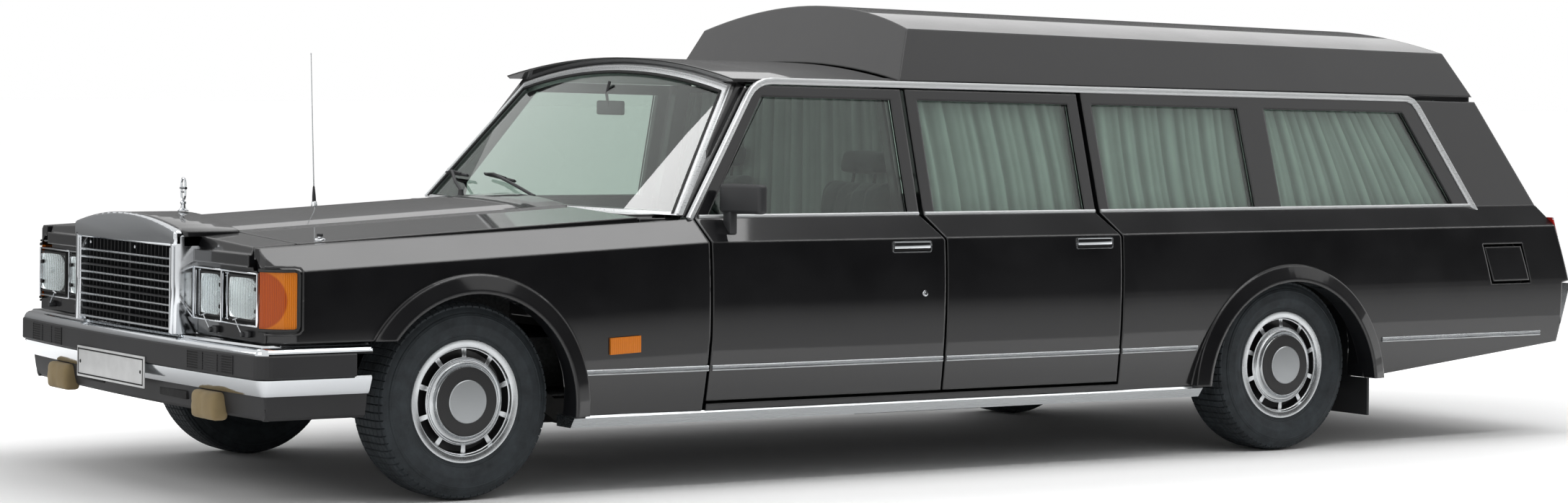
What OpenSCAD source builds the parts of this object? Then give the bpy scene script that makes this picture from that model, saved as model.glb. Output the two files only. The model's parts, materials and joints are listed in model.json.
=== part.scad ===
// Long black station wagon with a raised rear roof, four side doors and a lifting tailgate.
// Millimetres. +X is forward, +Y is the car's left, +Z is up. The origin is on the ground,
// under the middle of the overall length and width.

/* [Overall] */
// Width over the body sides
body_width = 2088; // [2040:2:2120]
// Distance between the axles
wheelbase = 3880; // [3820:10:3920]
// Front axle to the front of the bumper
front_overhang = 930; // [900:5:960]
// Rear axle to the back of the rear bumper
rear_overhang = 1630; // [1590:5:1660]

/* [Side section] */
// Radius of the barrel curve of the body side
barrel_r = 2600; // [2200:50:3200]
// Height of the widest point of the body side
barrel_z = 700; // [680:5:720]
// Height of the lower edge of the side panels, above the sill trim
panel_z = 290; // [285:1:296]
// Height of the crease under the shoulder
crease_z = 905; // [895:1:915]
// Height of the belt line, where the glass begins
belt_z = 988; // [980:1:996]
// Inward lean of the side glass, sideways travel for each unit of height
lean = 0.27; // [0.255:0.005:0.28]
// Thickness of the doors and side walls below the belt
wall = 92; // [80:1:100]
// Thickness of the window frames above the belt
frame_wall = 44; // [38:1:50]

/* [Doors] */
// Front axle back to the front edge of the front door
a_post_setback = 972; // [960:2:985]
// Length of the front door
front_door_length = 1078; // [1060:2:1095]
// Length of the rear door
rear_door_length = 875; // [860:2:890]
// Gap around each door, lid and flap
gap = 12; // [11:0.5:14]
// Height of the lower edge of the doors
door_z = 325; // [318:1:332]
// Height of the drip rail over the middle of the car
rail_z = 1488; // [1480:1:1500]
// Fall of the drip rail towards the back, for each unit of length
rail_fall = 0.0145; // [0.012:0.0005:0.017]
// Frame height between the window and the drip rail
header = 66; // [60:1:72]

/* [Roof] */
// Thickness of the roof panels
roof_wall = 36; // [30:1:42]
// Rise of the low roof from the drip rails to the middle
roof_crown = 78; // [70:1:86]
// Height of the raised roof at its crest
crest_z = 1800; // [1780:2:1820]
// Half width of the raised roof at its foot
raised_foot = 782; // [770:1:790]

/* [Wheels] */
// Radius of the tyres
tyre_r = 352; // [346:1:358]
// Width of the tyres
tyre_w = 235; // [225:1:240]
// Distance between the front wheels
front_track = 1643; // [1630:1:1660]
// Distance between the rear wheels
rear_track = 1663; // [1650:1:1680]
// Radius of the rim where the tyre sits
rim_r = 190; // [186:1:194]
// Radius of the stub axles
stub_r = 30; // [27:0.5:33]
// Running clearance of each wheel on its stub axle
run_gap = 0.3; // [0.2:0.05:0.4]
// Number of slots in a wheel cover
slots = 10; // [8:1:12]
// Radius of the front wheel arches
front_arch_r = 410; // [404:1:416]
// Radius of the rear wheel arches
rear_arch_r = 450; // [444:1:456]

/* [Front] */
// Half width of the radiator shell
shell_half = 435; // [425:1:445]
// Height of the shell at its corners
shell_z = 945; // [938:1:950]
// Number of bright grille bars
grille_bars = 11; // [9:1:13]
// Height of the top of the front bumper
bumper_z = 578; // [572:1:584]

/* [Hidden] */
$fn = 96;
arc_fn = 720;     // facets of the very large circles

black = "#101012";
grey_black = "#2b2b2d";
chrome = "#c9ccd0";
steel = "#55585c";
glass_tint = "#6f8580";

// Places along the car
overall_length = front_overhang + wheelbase + rear_overhang;
front_x = overall_length / 2;
back_x = -overall_length / 2;
front_axle_x = front_x - front_overhang;
rear_axle_x = front_axle_x - wheelbase;
a_x = front_axle_x - a_post_setback;
b_x = a_x - front_door_length;
c_x = b_x - rear_door_length;
half_w = body_width / 2;
reach = half_w + 200;

// The side section: y of the shoulder crease and of the belt
crease_y = half_w - barrel_r + sqrt(barrel_r * barrel_r - pow(crease_z - barrel_z, 2));
belt_y = crease_y - 84;
glass_y = belt_y - 4;
section_top = 1600;

function barrel_reach(z) = max(abs(z - barrel_z), abs(z + 60 - barrel_z));
function barrel_sag(z) = pow(barrel_reach(z), 2) / (2 * (barrel_r - wall));
function rail_at(x) = rail_z + rail_fall * x;
function window_top(x) = rail_at(x) - header;
function side_y(z) = glass_y - lean * (z - belt_z);
window_z = belt_z + 10;
post_jog = 51;      // the door posts step back by this from belt to shoulder
post_half = 63;     // half the width of a pillar between two windows
seat_gap = 0.3;     // clearance of a piece in its seat
glass_t = 6;
glass_set = 12;     // glass lies this far inside the frame's face
roof_gap = 12;      // underside of the roof edge, below the drip rail line

module left_and_right() {
  children();
  mirror([0, 1, 0]) children();
}
// A prism across the car from an outline seen from the left, x then z
module across(outline, y0 = -reach, y1 = reach) {
  translate([0, y1, 0]) rotate([90, 0, 0]) linear_extrude(y1 - y0) polygon(outline);
}
// A prism along the car from an outline seen from the front, y then z
module along(x0, x1) { translate([x0, 0, 0]) rotate([90, 0, 90]) linear_extrude(x1 - x0) children(); }
// A prism upwards from a plan outline
module upright(z0, z1) { translate([0, 0, z0]) linear_extrude(z1 - z0) children(); }
module rod(from, to, r) {
  d = to - from;
  translate(from) rotate([0, acos(d.z / norm(d)), atan2(d.y, d.x)]) cylinder(r = r, h = norm(d));
}
module bar(x0, x1, y0, y1, z0, z1) { translate([x0, y0, z0]) cube([x1 - x0, y1 - y0, z1 - z0]); }

// Body side section, left half. inset moves the surface inwards
module lower_section(inset) {
  rise = (belt_z - crease_z) / (crease_y - belt_y);
  far = half_w + 60;
  intersection() {
    translate([half_w - barrel_r, barrel_z]) circle(barrel_r - inset, $fn = arc_fn);
    polygon([[0, panel_z], [far, panel_z], [far, crease_z - (far - crease_y + inset) * rise],
             [belt_y - inset, belt_z], [0, belt_z]]);
  }
}
module leaning_strip(set, t, z0 = belt_z - 2, z1 = section_top) {
  polygon([[side_y(z0) - set - t, z0], [side_y(z0) - set, z0], [side_y(z1) - set, z1],
           [side_y(z1) - set - t, z1]]);
}
module wall_section() {
  difference() {
    lower_section(0);
    lower_section(wall);
  }
  leaning_strip(0, frame_wall);
}

// Side walls: straight along the doors, tapered in plan behind them, tapered and falling in front
wing_turn = 1.0;
wing_fall = 2.6;
quarter_turn = 1.3;
module quarter_place() {
  translate([c_x, half_w, 0]) rotate([0, 0, quarter_turn]) translate([-c_x, -half_w, 0]) children();
}
module wing_place() {
  translate([a_x, half_w, belt_z]) rotate([0, wing_fall, -wing_turn])
    translate([-a_x, -half_w, -belt_z]) children();
}
module door_wall() { along(c_x - 100, a_x + 150) wall_section(); }
module quarter_wall() { quarter_place() along(back_x - 200, c_x + 150) wall_section(); }

// Doors
door_top = -roof_gap - gap;
a_foot = a_x + 20;  // front edge of the front door at the belt
a_slope = 0.712;    // lean of the screen pillar, length for each unit of height
function a_edge(z) = a_foot - a_slope * (z - belt_z);
// Front (side 1) or rear (side -1) edge of a shut line between two panels, from the foot up to z.
// Above the belt it is twice as wide, because the leaning frame swings through it
function shut_edge(x, side, z) = [
  [x + side * gap / 2, crease_z - 10], [x + post_jog + side * gap, belt_z - 4],
  [x + post_jog + side * gap, z]];
function reversed(list) = [for (i = [len(list) - 1:-1:0]) list[i]];

a_top_z = rail_at(a_edge(rail_z)) + door_top;
front_door_outline = concat(
  [[b_x + gap / 2, door_z]], shut_edge(b_x, 1, rail_at(b_x) + door_top),
  [[a_edge(a_top_z), a_top_z], [a_foot, belt_z], [a_x, crease_z], [a_x - 5, 560], [a_x + 6, door_z]]);
rear_door_outline = concat(
  [[c_x + gap / 2, door_z]], shut_edge(c_x, 1, rail_at(c_x) + door_top),
  reversed(shut_edge(b_x, -1, rail_at(b_x) + door_top)), [[b_x - gap / 2, door_z]]);

front_window = [
  [b_x + post_jog + post_half, window_z], [b_x + post_jog + post_half, window_top(b_x)],
  [a_edge(window_top(a_x)) - 55, window_top(a_x - 400)], [a_edge(window_z) - 55, window_z]];
rear_window = [
  [c_x + post_jog + post_half, window_z], [c_x + post_jog + post_half, window_top(c_x)],
  [b_x + post_jog - post_half, window_top(b_x)], [b_x + post_jog - post_half, window_z]];
d_x = c_x + post_jog - post_half - 795;     // rear edge of the first quarter window
e_top_x = d_x - 950;                        // rear edge of the second one, at its top and foot
e_foot_x = d_x - 1150;
quarter_window_1 = [
  [d_x, window_z], [d_x, window_top(d_x)], [c_x + post_jog - post_half, window_top(c_x)],
  [c_x + post_jog - post_half, window_z]];
quarter_window_2 = [
  [e_foot_x, window_z], [e_top_x, window_top(e_top_x)], [d_x - 145, window_top(d_x - 145)],
  [d_x - 145, window_z]];

function shrunk(outline, by) = let (c = [for (i = [0:1]) (min([for (p = outline) p[i]])
    + max([for (p = outline) p[i]])) / 2])
  [for (p = outline) [p.x + sign(c.x - p.x) * by, p.y + sign(c.y - p.y) * by]];

module door_skin(outline, window) {
  difference() {
    intersection() {
      door_wall();
      across(outline, 0, reach);
    }
    across(window, 0, reach);
  }
}
module front_door() { color(black) door_skin(front_door_outline, front_window); }
module rear_door() { color(black) door_skin(rear_door_outline, rear_window); }
module pane(window) {
  intersection() {
    along(back_x, front_x) leaning_strip(glass_set, glass_t);
    across(shrunk(window, seat_gap), 0, reach);
  }
}
module front_pane() { color(glass_tint) pane(front_window); }
module rear_pane() { color(glass_tint) pane(rear_window); }
curtain_t = 26;
curtain_lap = 14;
module curtain(window) {
  intersection() {
    along(back_x, front_x) leaning_strip(frame_wall + seat_gap, curtain_t, belt_z + seat_gap);
    across(shrunk(window, -curtain_lap), 0, reach);
  }
}
module rear_curtain() { color("#8fa29a") curtain(rear_window); }
mirror_x = a_foot - 98;     // front of a mirror at its inner end
mirror_in = belt_y + 6;
function shoulder_z(y) = belt_z - (y - belt_y) * (belt_z - crease_z) / (crease_y - belt_y) + seat_gap;
module mirror_head() {
  foot = [belt_y + 12, belt_y + 62];
  sweep = 54;      // the outer end trails the inner one
  span = 188;
  color(grey_black) {
    upright(belt_z + 20, belt_z + 128)
      polygon([[mirror_x, mirror_in], [mirror_x - sweep, mirror_in + span],
               [mirror_x - sweep - 40, mirror_in + span],
               [mirror_x - 52, mirror_in]]);
    along(mirror_x - 52, mirror_x - 14)
      polygon([[foot[0], shoulder_z(foot[0])], [foot[1], shoulder_z(foot[1])], [foot[1], belt_z + 24],
               [foot[0], belt_z + 24]]);
  }
}

// Quarter panels, one piece each from the rear door to the tail, with two windows
tail_lean = 0.564;  // lean of the tail above the belt
tail_belt_x = back_x + 125;
function tail_x(z) = tail_belt_x + tail_lean * (z - belt_z);
bumper_rear_z = [480, 655];
rear_arch = [rear_axle_x + 40, 250];
flap_x = back_x + 486;
flap = [231, 158];
flap_rake = 54;     // its top lies this far ahead of its foot
flap_z = 668;
flap_t = 14;
function flap_outline(grow) = [
  [flap_x - flap.x - grow, flap_z - grow], [flap_x + grow, flap_z - grow],
  [flap_x + flap_rake + grow, flap_z + flap.y + grow],
  [flap_x + flap_rake - flap.x - grow, flap_z + flap.y + grow]];
tail_foot = [back_x + 14, bumper_rear_z[1] + 12];
function tail_low(z) =
  tail_foot.x + (tail_belt_x - tail_foot.x) * (z - tail_foot.y) / (belt_z - tail_foot.y);
function quarter_top(x) = rail_at(x) - roof_gap - seat_gap;
bumper_depth = 54;
gate_half = half_w - wall + (back_x - c_x) * tan(quarter_turn) - 46;
jamb = 14;          // from the tailgate to the quarter panels beside it
tail_rail_x = tail_x(quarter_top(tail_belt_x + 250));
quarter_outline = concat(
  [[back_x + 70, 405], [back_x + bumper_depth + seat_gap, bumper_rear_z[0] - 4],
   [back_x + bumper_depth + seat_gap, bumper_rear_z[1] + 4], tail_foot, [tail_belt_x, belt_z],
   [tail_rail_x, quarter_top(tail_rail_x)]],
  reversed(shut_edge(c_x, -1, quarter_top(c_x))),
  [[c_x - gap / 2, panel_z], [rear_arch.x - 440, panel_z], [rear_arch.x - 540, panel_z + 8]]);
module arch_flare(centre, r) {
  translate([centre.x, 0, centre.y]) rotate([-90, 0, 0])
    rotate_extrude() polygon([[r - 8, half_w - 60], [r - 8, half_w + 4], [r + 12, half_w + 6],
                              [r + 66, half_w - 8], [r + 66, half_w - 60]]);
}
module arch_cut(centre, r) {
  translate([centre.x, 0, centre.y]) rotate([-90, 0, 0]) cylinder(r = r, h = reach);
}
module quarter_panel() {
  color(black) difference() {
    union() {
      intersection() {
        quarter_wall();
        across(quarter_outline, 0, reach);
      }
      across([[tail_low(tail_foot.y), tail_foot.y], [tail_low(belt_z - 40), belt_z - 40],
              [tail_low(belt_z - 40) + 60, belt_z - 40],
              [tail_low(tail_foot.y) + 60, tail_foot.y]], gate_half + jamb, gate_half + 60);
      intersection() {
        door_wall();
        bar(c_x - gap / 2 + seat_gap, a_x + 4, 0, reach, panel_z, door_z - gap);
      }
      intersection() {
        arch_flare(rear_arch, rear_arch_r);
        across([[rear_arch.x - 600, panel_z], [rear_arch.x + 600, panel_z], [rear_arch.x + 600, 900],
                [rear_arch.x - 600, 900]], 0, reach);
      }
    }
    arch_cut(rear_arch, rear_arch_r);
    translate([rear_axle_x, 0, tyre_r]) rotate([-90, 0, 0]) cylinder(r = tyre_r + 48, h = half_w - 84);
    bar(back_x - 10, back_x + 190, 0, gate_half + jamb, 600, 1700);
    quarter_place() {
      across(quarter_window_1, 0, reach);
      across(quarter_window_2, 0, reach);
    }
  }
}
module quarter_panels() {
  difference() {
    left_and_right() quarter_panel();
    quarter_place() across(flap_outline(gap / 2), half_w - 55, reach);
  }
  color(black) quarter_place() 
    bar(flap_x - 8, flap_x + 8, half_w - 56, half_w - flap_t - 0.7, flap_z + 30, flap_z + 60);
}
module quarter_glass() {
  color(glass_tint) left_and_right() quarter_place() {
    pane(quarter_window_1);
    pane(quarter_window_2);
  }
}
module quarter_curtains() {
  color("#8fa29a") left_and_right() quarter_place() {
    curtain(quarter_window_1);
    curtain(quarter_window_2);
  }
}
module fuel_flap() {
  color(black) intersection() {
    quarter_place() along(back_x, c_x) difference() {
      lower_section(0);
      lower_section(flap_t);
    }
    quarter_place() across(flap_outline(-gap / 2), 0, reach);
  }
}

// Front wings: side, shoulder and the top strip beside the bonnet
front_arch = [front_axle_x + 22, 330];
wing_top = 56;      // width of the wing's flat top beside the bonnet
bonnet_half = belt_y - wing_top;
nose_x = front_x - 105;       // face of the panel that carries the headlamps
wing_t = 50;
lamp_z = [637, 822];
wing_front_y = half_w - (nose_x - a_x) * tan(wing_turn);      // outer face of the wing at the nose
module wing_section() {
  difference() {
    lower_section(0);
    lower_section(wing_t);
  }
  polygon([[bonnet_half + gap / 2, belt_z - 40], [belt_y - 20, belt_z - 40], [belt_y, belt_z],
           [bonnet_half + gap / 2, belt_z]]);
}
wing_outline = [
  [a_x + gap + 10, panel_z], [a_x + gap - 5, 560], [a_x + gap, crease_z], [a_foot + gap, belt_z + 20],
  [nose_x, belt_z + 20], [nose_x, lamp_z[1] + 6 + seat_gap], [nose_x - 105.5, lamp_z[1] + 6 + seat_gap],
  [nose_x - 105.5, lamp_z[0] - 6 - seat_gap],
  [nose_x, lamp_z[0] - 6 - seat_gap], [nose_x, bumper_z + 6], [front_arch.x + 300, bumper_z + 6],
  [front_arch.x, panel_z]];
// Rounded front corner of the wings and corner lamps, in plan
function nose_corner(inset) = [
  [nose_x - 105, wing_front_y + 1 - inset], [nose_x - 62, wing_front_y - 10 - inset],
  [nose_x - 30, wing_front_y - 34 - inset],
  [nose_x - 12 - inset / 2, wing_front_y - 56 - inset / 2], [nose_x - 2 - inset / 2, bezel_y[1] + 4]];
module nose_plan() {
  polygon(concat([[a_x - 20, bezel_y[1] - 40], [a_x - 20, half_w + 60], [front_arch.x, half_w + 60]],
                 nose_corner(0), [[nose_x - 2, bezel_y[1] - 40]]));
}
module front_wing() {
  color(black) difference() {
    union() {
      intersection() {
        wing_place() along(a_x - 50, front_x + 100) wing_section();
        across(wing_outline, 0, reach);
        upright(0, 1300) nose_plan();
      }
      intersection() {
        arch_flare(front_arch, front_arch_r);
        across([[front_arch.x - 500, panel_z], [front_arch.x, panel_z],
                [front_arch.x + 200, bumper_z + 6],
                [front_arch.x + 500, bumper_z + 6], [front_arch.x + 500, 900],
                [front_arch.x - 500, 900]], 0, reach);
      }
    }
    arch_cut(front_arch, front_arch_r);
  }
}
module front_wings() { left_and_right() front_wing(); }

// Sill trims under the doors
sill = [246, panel_z - seat_gap];
module sill_trims() {
  color(chrome) left_and_right() difference() {
    along(rear_arch.x + rear_arch_r + 15, front_arch.x - front_arch_r - 12)
      polygon([[half_w - 150, sill[1]], [half_w - 36, sill[1]], [half_w - 30, sill[1] - 8],
               [half_w - 56, sill[0]], [half_w - 150, sill[0]]]);
  }
}

// Bonnet and nose
bonnet_rear_x = front_axle_x - 740;
bonnet_front_x = front_x - 290;
bonnet_fall = 3.2;
bonnet_z = belt_z + 62;      // height of its crown at the back
bonnet_t = 26;
ridge_half = 400;
module bonnet_section(t) {
  crown_r = 2600;
  difference() {
    union() {
      intersection() {
        translate([0, -crown_r]) circle(crown_r, $fn = arc_fn);
        translate([-ridge_half, -120]) square([2 * ridge_half, 130]);
      }
      polygon([[-bonnet_half, -120], [bonnet_half, -120], [bonnet_half, -58], [ridge_half, -36],
               [-ridge_half, -36], [-bonnet_half, -58]]);
    }
    translate([0, -t]) union() {
      intersection() {
        translate([0, -crown_r]) circle(crown_r, $fn = arc_fn);
        translate([-ridge_half + t, -200]) square([2 * (ridge_half - t), 210]);
      }
      polygon([[-bonnet_half - 9, -200], [bonnet_half + 9, -200], [bonnet_half + 9, -58],
               [ridge_half, -36], [-ridge_half, -36], [-bonnet_half - 9, -58]]);
    }
  }
}
module bonnet_place() {
  translate([bonnet_rear_x, 0, bonnet_z]) rotate([0, bonnet_fall, 0]) children();
}
bonnet_len = (bonnet_front_x - bonnet_rear_x) / cos(bonnet_fall);
module bonnet() {
  front_half = bonnet_half - gap / 2 - bonnet_len * tan(wing_turn) - 6;
  rear_half = bonnet_half - gap / 2 - 4;
  color(black) intersection() {
    bonnet_place() along(0, bonnet_len) bonnet_section(bonnet_t);
    upright(0, 2000) polygon([[bonnet_rear_x - 60, rear_half], [bonnet_front_x + 60, front_half],
                              [bonnet_front_x + 60, -front_half], [bonnet_rear_x - 60, -rear_half]]);
  }
}

cheek = 46;      // width of the radiator shell's sides
nose_half = wing_front_y - wing_t - 4;
bezel_y = [shell_half + 5, shell_half + 495];
module nose_panel() {
  brow = 30;
  color(black) difference() {
    union() {
      intersection() {
        bonnet_place() along(bonnet_len + gap, bonnet_len + 400) bonnet_section(bonnet_t + 20);
        across([[bonnet_front_x - 50, lamp_z[1] + 20], [nose_x + 6, lamp_z[1] + 20],
                [nose_x - 18, lamp_z[1] + 90],
                [bonnet_front_x + 100, 1100], [bonnet_front_x - 50, 1100]]);
      }
      bar(nose_x - brow, nose_x - 12, -nose_half, nose_half, bumper_z + 4, lamp_z[1] + 60);
      bar(nose_x - 12, nose_x + 6, -nose_half, nose_half, lamp_z[1] + 16, lamp_z[1] + 60);
    }
    bar(nose_x - 200, front_x, -shell_half - seat_gap, shell_half + seat_gap, bumper_z - 100, 1200);
    left_and_right() bar(nose_x - 60, front_x, bezel_y[1] + 2, half_w, lamp_z[0] - 8, lamp_z[1] + 8);
    left_and_right() bar(bonnet_front_x - 60, front_x,
                         bonnet_half - (nose_x - a_x) * tan(wing_turn) - 4, half_w, lamp_z[1], 1200);
    left_and_right() upright(0, 1300) difference() {
      square([front_x, half_w]);
      nose_plan();
      square([front_x, bezel_y[1]]);
    }
  }
  color(black) bar(nose_x - 110, nose_x - 90, -shell_half + cheek + seat_gap,
                   shell_half - cheek - seat_gap, bumper_z - 20, shell_z - 40 - seat_gap);
}

// Radiator shell with its bars
shell_face_x = front_x - 22;
shell_foot = bumper_z + seat_gap;
shell_crown = 50;
bar_h = 9;
module shell_front(inset) {
  r = (shell_half * shell_half + shell_crown * shell_crown) / (2 * shell_crown);
  intersection() {
    translate([0, shell_z + shell_crown - r]) circle(r - inset, $fn = arc_fn);
    translate([-shell_half + inset, shell_foot]) square([2 * (shell_half - inset), 500]);
  }
}
module grille() {
  brow_z = shell_z - 40;
  color(chrome) {
    difference() {
      along(bonnet_front_x + gap, shell_face_x) shell_front(0);
      along(bonnet_front_x, shell_face_x + 10) translate([-shell_half + cheek, shell_foot - 1])
        square([2 * (shell_half - cheek), brow_z - shell_foot + 1]);
    }
    for (i = [0:grille_bars - 1]) {
      z = shell_foot + 12 + i * (brow_z - shell_foot - 20) / grille_bars;
      bar(shell_face_x - 34, shell_face_x - 12, -shell_half + cheek, shell_half - cheek, z, z + bar_h);
    }
    bar(shell_face_x - 44, shell_face_x - 34, -4, 4, shell_foot, brow_z);
  }
}

// Lamps
module lamp_cells(inset = 0) {
  mid = bezel_y[0] + 215;
  for (y = [[bezel_y[0] + 12, mid - 7], [mid + 7, bezel_y[1] - 12]])
    translate([y[0] + inset, lamp_z[0] + 12 + inset])
      square([y[1] - y[0] - 2 * inset, lamp_z[1] - lamp_z[0] - 24 - 2 * inset]);
}
module headlamp_bezels() {
  color(chrome) left_and_right() along(nose_x - 12 + seat_gap, nose_x + 8) difference() {
    translate([bezel_y[0], lamp_z[0]]) square([bezel_y[1] - bezel_y[0], lamp_z[1] - lamp_z[0]]);
    lamp_cells();
  }
}
module headlamp_lenses() {
  color("#dfe5e6") left_and_right() along(nose_x - 12 + seat_gap, nose_x + 2) lamp_cells(seat_gap);
}
module amber_lamps() {
  color("#d07010") left_and_right() {
    upright(lamp_z[0] - 6, lamp_z[1] + 6) polygon(concat(nose_corner(0), reversed(nose_corner(30))));
    wing_place() intersection() {
      along(a_x, front_x) difference() {
        lower_section(-9);
        lower_section(-seat_gap);
      }
      bar(a_x + 330, a_x + 458, 0, reach, 528, 588);
    }
  }
}

// Front bumper: two bright bars, a dark band between them and an apron below
band_z = [466, 546];
chrome_foot = 404;
apron_z = 318;
bumper_half = half_w - 8;
bumper_back_x = front_arch.x + front_arch_r - 8;
module bumper_plan(inset, back_x) {
  bow_r = 10800;
  r = max(60 - inset, 6);
  hw = bumper_half - inset;
  x1 = front_x - inset;
  intersection() {
    translate([front_x - bow_r, 0]) circle(bow_r - inset, $fn = arc_fn);
    union() {
      translate([back_x, -hw]) square([x1 - r - back_x, 2 * hw]);
      translate([back_x, -(hw - r)]) square([x1 - back_x, 2 * (hw - r)]);
      for (s = [-1, 1]) translate([x1 - r, s * (hw - r)]) circle(r);
    }
  }
}
module bumper_ring(z0, z1, inset, depth) {
  upright(z0, z1) difference() {
    bumper_plan(inset, bumper_back_x);
    bumper_plan(inset + depth, bumper_back_x - 10);
  }
}
module front_bumper() {
  color(chrome) {
    bumper_ring(band_z[1], bumper_z, 14, 100);
    bumper_ring(chrome_foot, band_z[0], 20, 46);
    bumper_ring(band_z[0] - 1, band_z[1] + 1, 40, 22);
  }
}
// The dark band between the bright bars, and the apron under them
module bumper_cladding() {
  color(grey_black) {
    bumper_ring(band_z[0] + seat_gap, band_z[1] - seat_gap, 0, 40 - seat_gap);
    bumper_ring(apron_z, chrome_foot - seat_gap, 50, 30);
  }
}
fog_y = 596;
module fog_lamps() {
  color("#a08a5c") left_and_right()
    bar(front_x - 61.2, front_x - 30, fog_y - 95, fog_y + 95, apron_z - 8, chrome_foot - seat_gap);
}

// Low roof with its pillars, and the raised roof behind it
roof_front_x = a_edge(rail_z) + 160;
roof_back_x = tail_rail_x + 20;
roof_half = side_y(rail_z) + 2;
hatch_front_x = b_x + 60;
crown_r = (roof_half * roof_half + roof_crown * roof_crown) / (2 * roof_crown);
module roof_place() { translate([0, 0, rail_z]) rotate([0, -atan(rail_fall), 0]) children(); }
module roof_section() {
  difference() {
    intersection() {
      translate([0, roof_crown - crown_r]) circle(crown_r, $fn = arc_fn);
      translate([-roof_half, -roof_gap]) square([2 * roof_half, 400]);
    }
    intersection() {
      translate([0, roof_crown - crown_r]) circle(crown_r - roof_wall, $fn = arc_fn);
      translate([-roof_half + 62, -400]) square([2 * roof_half - 124, 800]);
    }
  }
}
module roof_plan() {
  taper = (c_x - roof_back_x) * tan(quarter_turn);
  polygon([[roof_front_x, -roof_half], [roof_front_x, roof_half], [c_x, roof_half],
           [roof_back_x, roof_half - taper],
           [roof_back_x, -roof_half + taper], [c_x, -roof_half]]);
}
module roof() {
  post = [36, 40];      // half length and thickness of the posts behind the door frames
  color(black) {
    difference() {
      intersection() {
        roof_place() along(roof_back_x - 100, roof_front_x + 200) roof_section();
        upright(1300, 1800) roof_plan();
      }
      bar(roof_back_x - 10, hatch_front_x, -raised_foot + 70, raised_foot - 70, 1300, 2000);
      screen_place() rotate([90, 0, 90]) translate([0, 0, -1000]) linear_extrude(3000)
        screen_below(screen_edge + seat_gap);
    }
    left_and_right() difference() {
      intersection() {
        along(a_x - 500, a_x + 150) leaning_strip(36, 71);
        across([[a_foot + gap, belt_z], [a_foot + gap + 45, belt_z],
                [a_edge(rail_z + 12) + gap + 45, rail_z + 12],
                [a_edge(rail_z + 12) - 60, rail_z + 12], [a_edge(rail_z + 12) - 60, rail_z + 4],
                [a_edge(rail_z + 4) + gap, rail_z + 4]], 0, reach);
      }
      screen_place() intersection() {
        screen_sheet(400, -200);
        screen_front(screen_edge + seat_gap);
      }
    }
    left_and_right() for (x = [b_x, c_x + 40]) intersection() {
      bar(x + post_jog - post[0], x + post_jog + post[0], 0, reach, floor_z + 40 + seat_gap, rail_z);
      union() {
        along(back_x, front_x) leaning_strip(frame_wall + 52, post[1], belt_z - 60, rail_z);
        along(back_x, front_x) translate([half_w - wall - 136, 0]) square([post[1], belt_z - 20]);
      }
    }
    left_and_right() for (z = [470, 760])
    {
      bar(b_x - 60, b_x + post_jog, half_w - wall - 100, half_w - wall - barrel_sag(z) - 8, z, z + 60);
      bar(b_x - 60, b_x - 30, half_w - wall - 100, half_w - wall - barrel_sag(z) - 0.6, z, z + 60);
    }
  }
}
gate_t = 46;
gate_top_z = crest_z - 150;
header_z = gate_top_z + gap;
raised_front_x = b_x + 72;
raised_lean = 0.5;
raised_fall = 0.0214;
module raised_section(t) {
  foot = raised_foot - t;
  half = raised_foot - 100 - t;
  rise = 95;
  r = (half * half + rise * rise) / (2 * rise);
  intersection() {
    translate([0, crest_z - r]) circle(r - t, $fn = arc_fn);
    polygon([[-foot - 20, rail_z - 45], [foot + 20, rail_z - 45], [half - 46, crest_z + 60],
             [-half + 46, crest_z + 60]]);
  }
}
module raised_side(t) {
  z0 = rail_z - 60;
  fall = atan(raised_fall);
  across([[tail_x(z0) - (t > 0 ? 100 : 0), z0],
          [tail_x(crest_z + 20) - (t > 0 ? 100 : 0), crest_z + 20],
          [raised_front_x - raised_lean * (crest_z - z0) - t, crest_z + 20], [raised_front_x - t, z0]]);
}
module raised_block(t) {
  intersection() {
    rotate([0, -atan(raised_fall), 0]) along(back_x - 300, front_x) raised_section(t);
    raised_side(t);
  }
}
module raised_roof() {
  color(black) difference() {
    raised_block(0);
    raised_block(roof_wall);
    roof_place() along(back_x - 300, front_x) intersection() {
      translate([0, roof_crown - crown_r]) circle(crown_r + seat_gap, $fn = arc_fn);
      translate([-1000, -700]) square([2000, 1000]);
    }
  }
  color(black) intersection() {
    raised_block(0);
    across([[tail_x(header_z), header_z], [tail_x(header_z) + gate_t, header_z],
            [tail_x(crest_z) + gate_t, crest_z], [tail_x(crest_z), crest_z]]);
  }
  color(black) left_and_right() bar(tail_x(header_z) + 20, tail_x(header_z) + gate_t, 240, 320,
                                    gate_top_z + 0.4, header_z + 2);
}

// Windscreen: a curved sheet in a bright surround
screen_r = 5700;
screen_tilt = 40;
screen_foot = [bonnet_rear_x - 52, belt_z + 22];
screen_len = 620;           // up the slope, from the foot to the top corners of the glass
screen_half = [930, 716];   // half width of the glass at its foot and at its top corners
screen_arch = 56;           // rise of its top edge in the middle
screen_edge = 36;
screen_z = belt_z + 24;     // foot of the glass
module screen_place() {
  translate([screen_foot.x, 0, screen_foot.y]) rotate([0, -screen_tilt, 0]) children();
}
module screen_sheet(t, set) {
  translate([-screen_r, 0, -200]) difference() {
    cylinder(r = screen_r - set, h = 1200, $fn = arc_fn);
    translate([0, 0, -1]) cylinder(r = screen_r - set - t, h = 1202, $fn = arc_fn);
  }
}
module screen_below(grow) {
  r = (pow(screen_half[1], 2) + pow(screen_arch, 2)) / (2 * screen_arch);
  intersection() {
    translate([0, screen_len + screen_arch - r]) circle(r + grow, $fn = arc_fn);
    translate([-1500, -2000]) square([3000, 4000]);
  }
}
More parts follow.
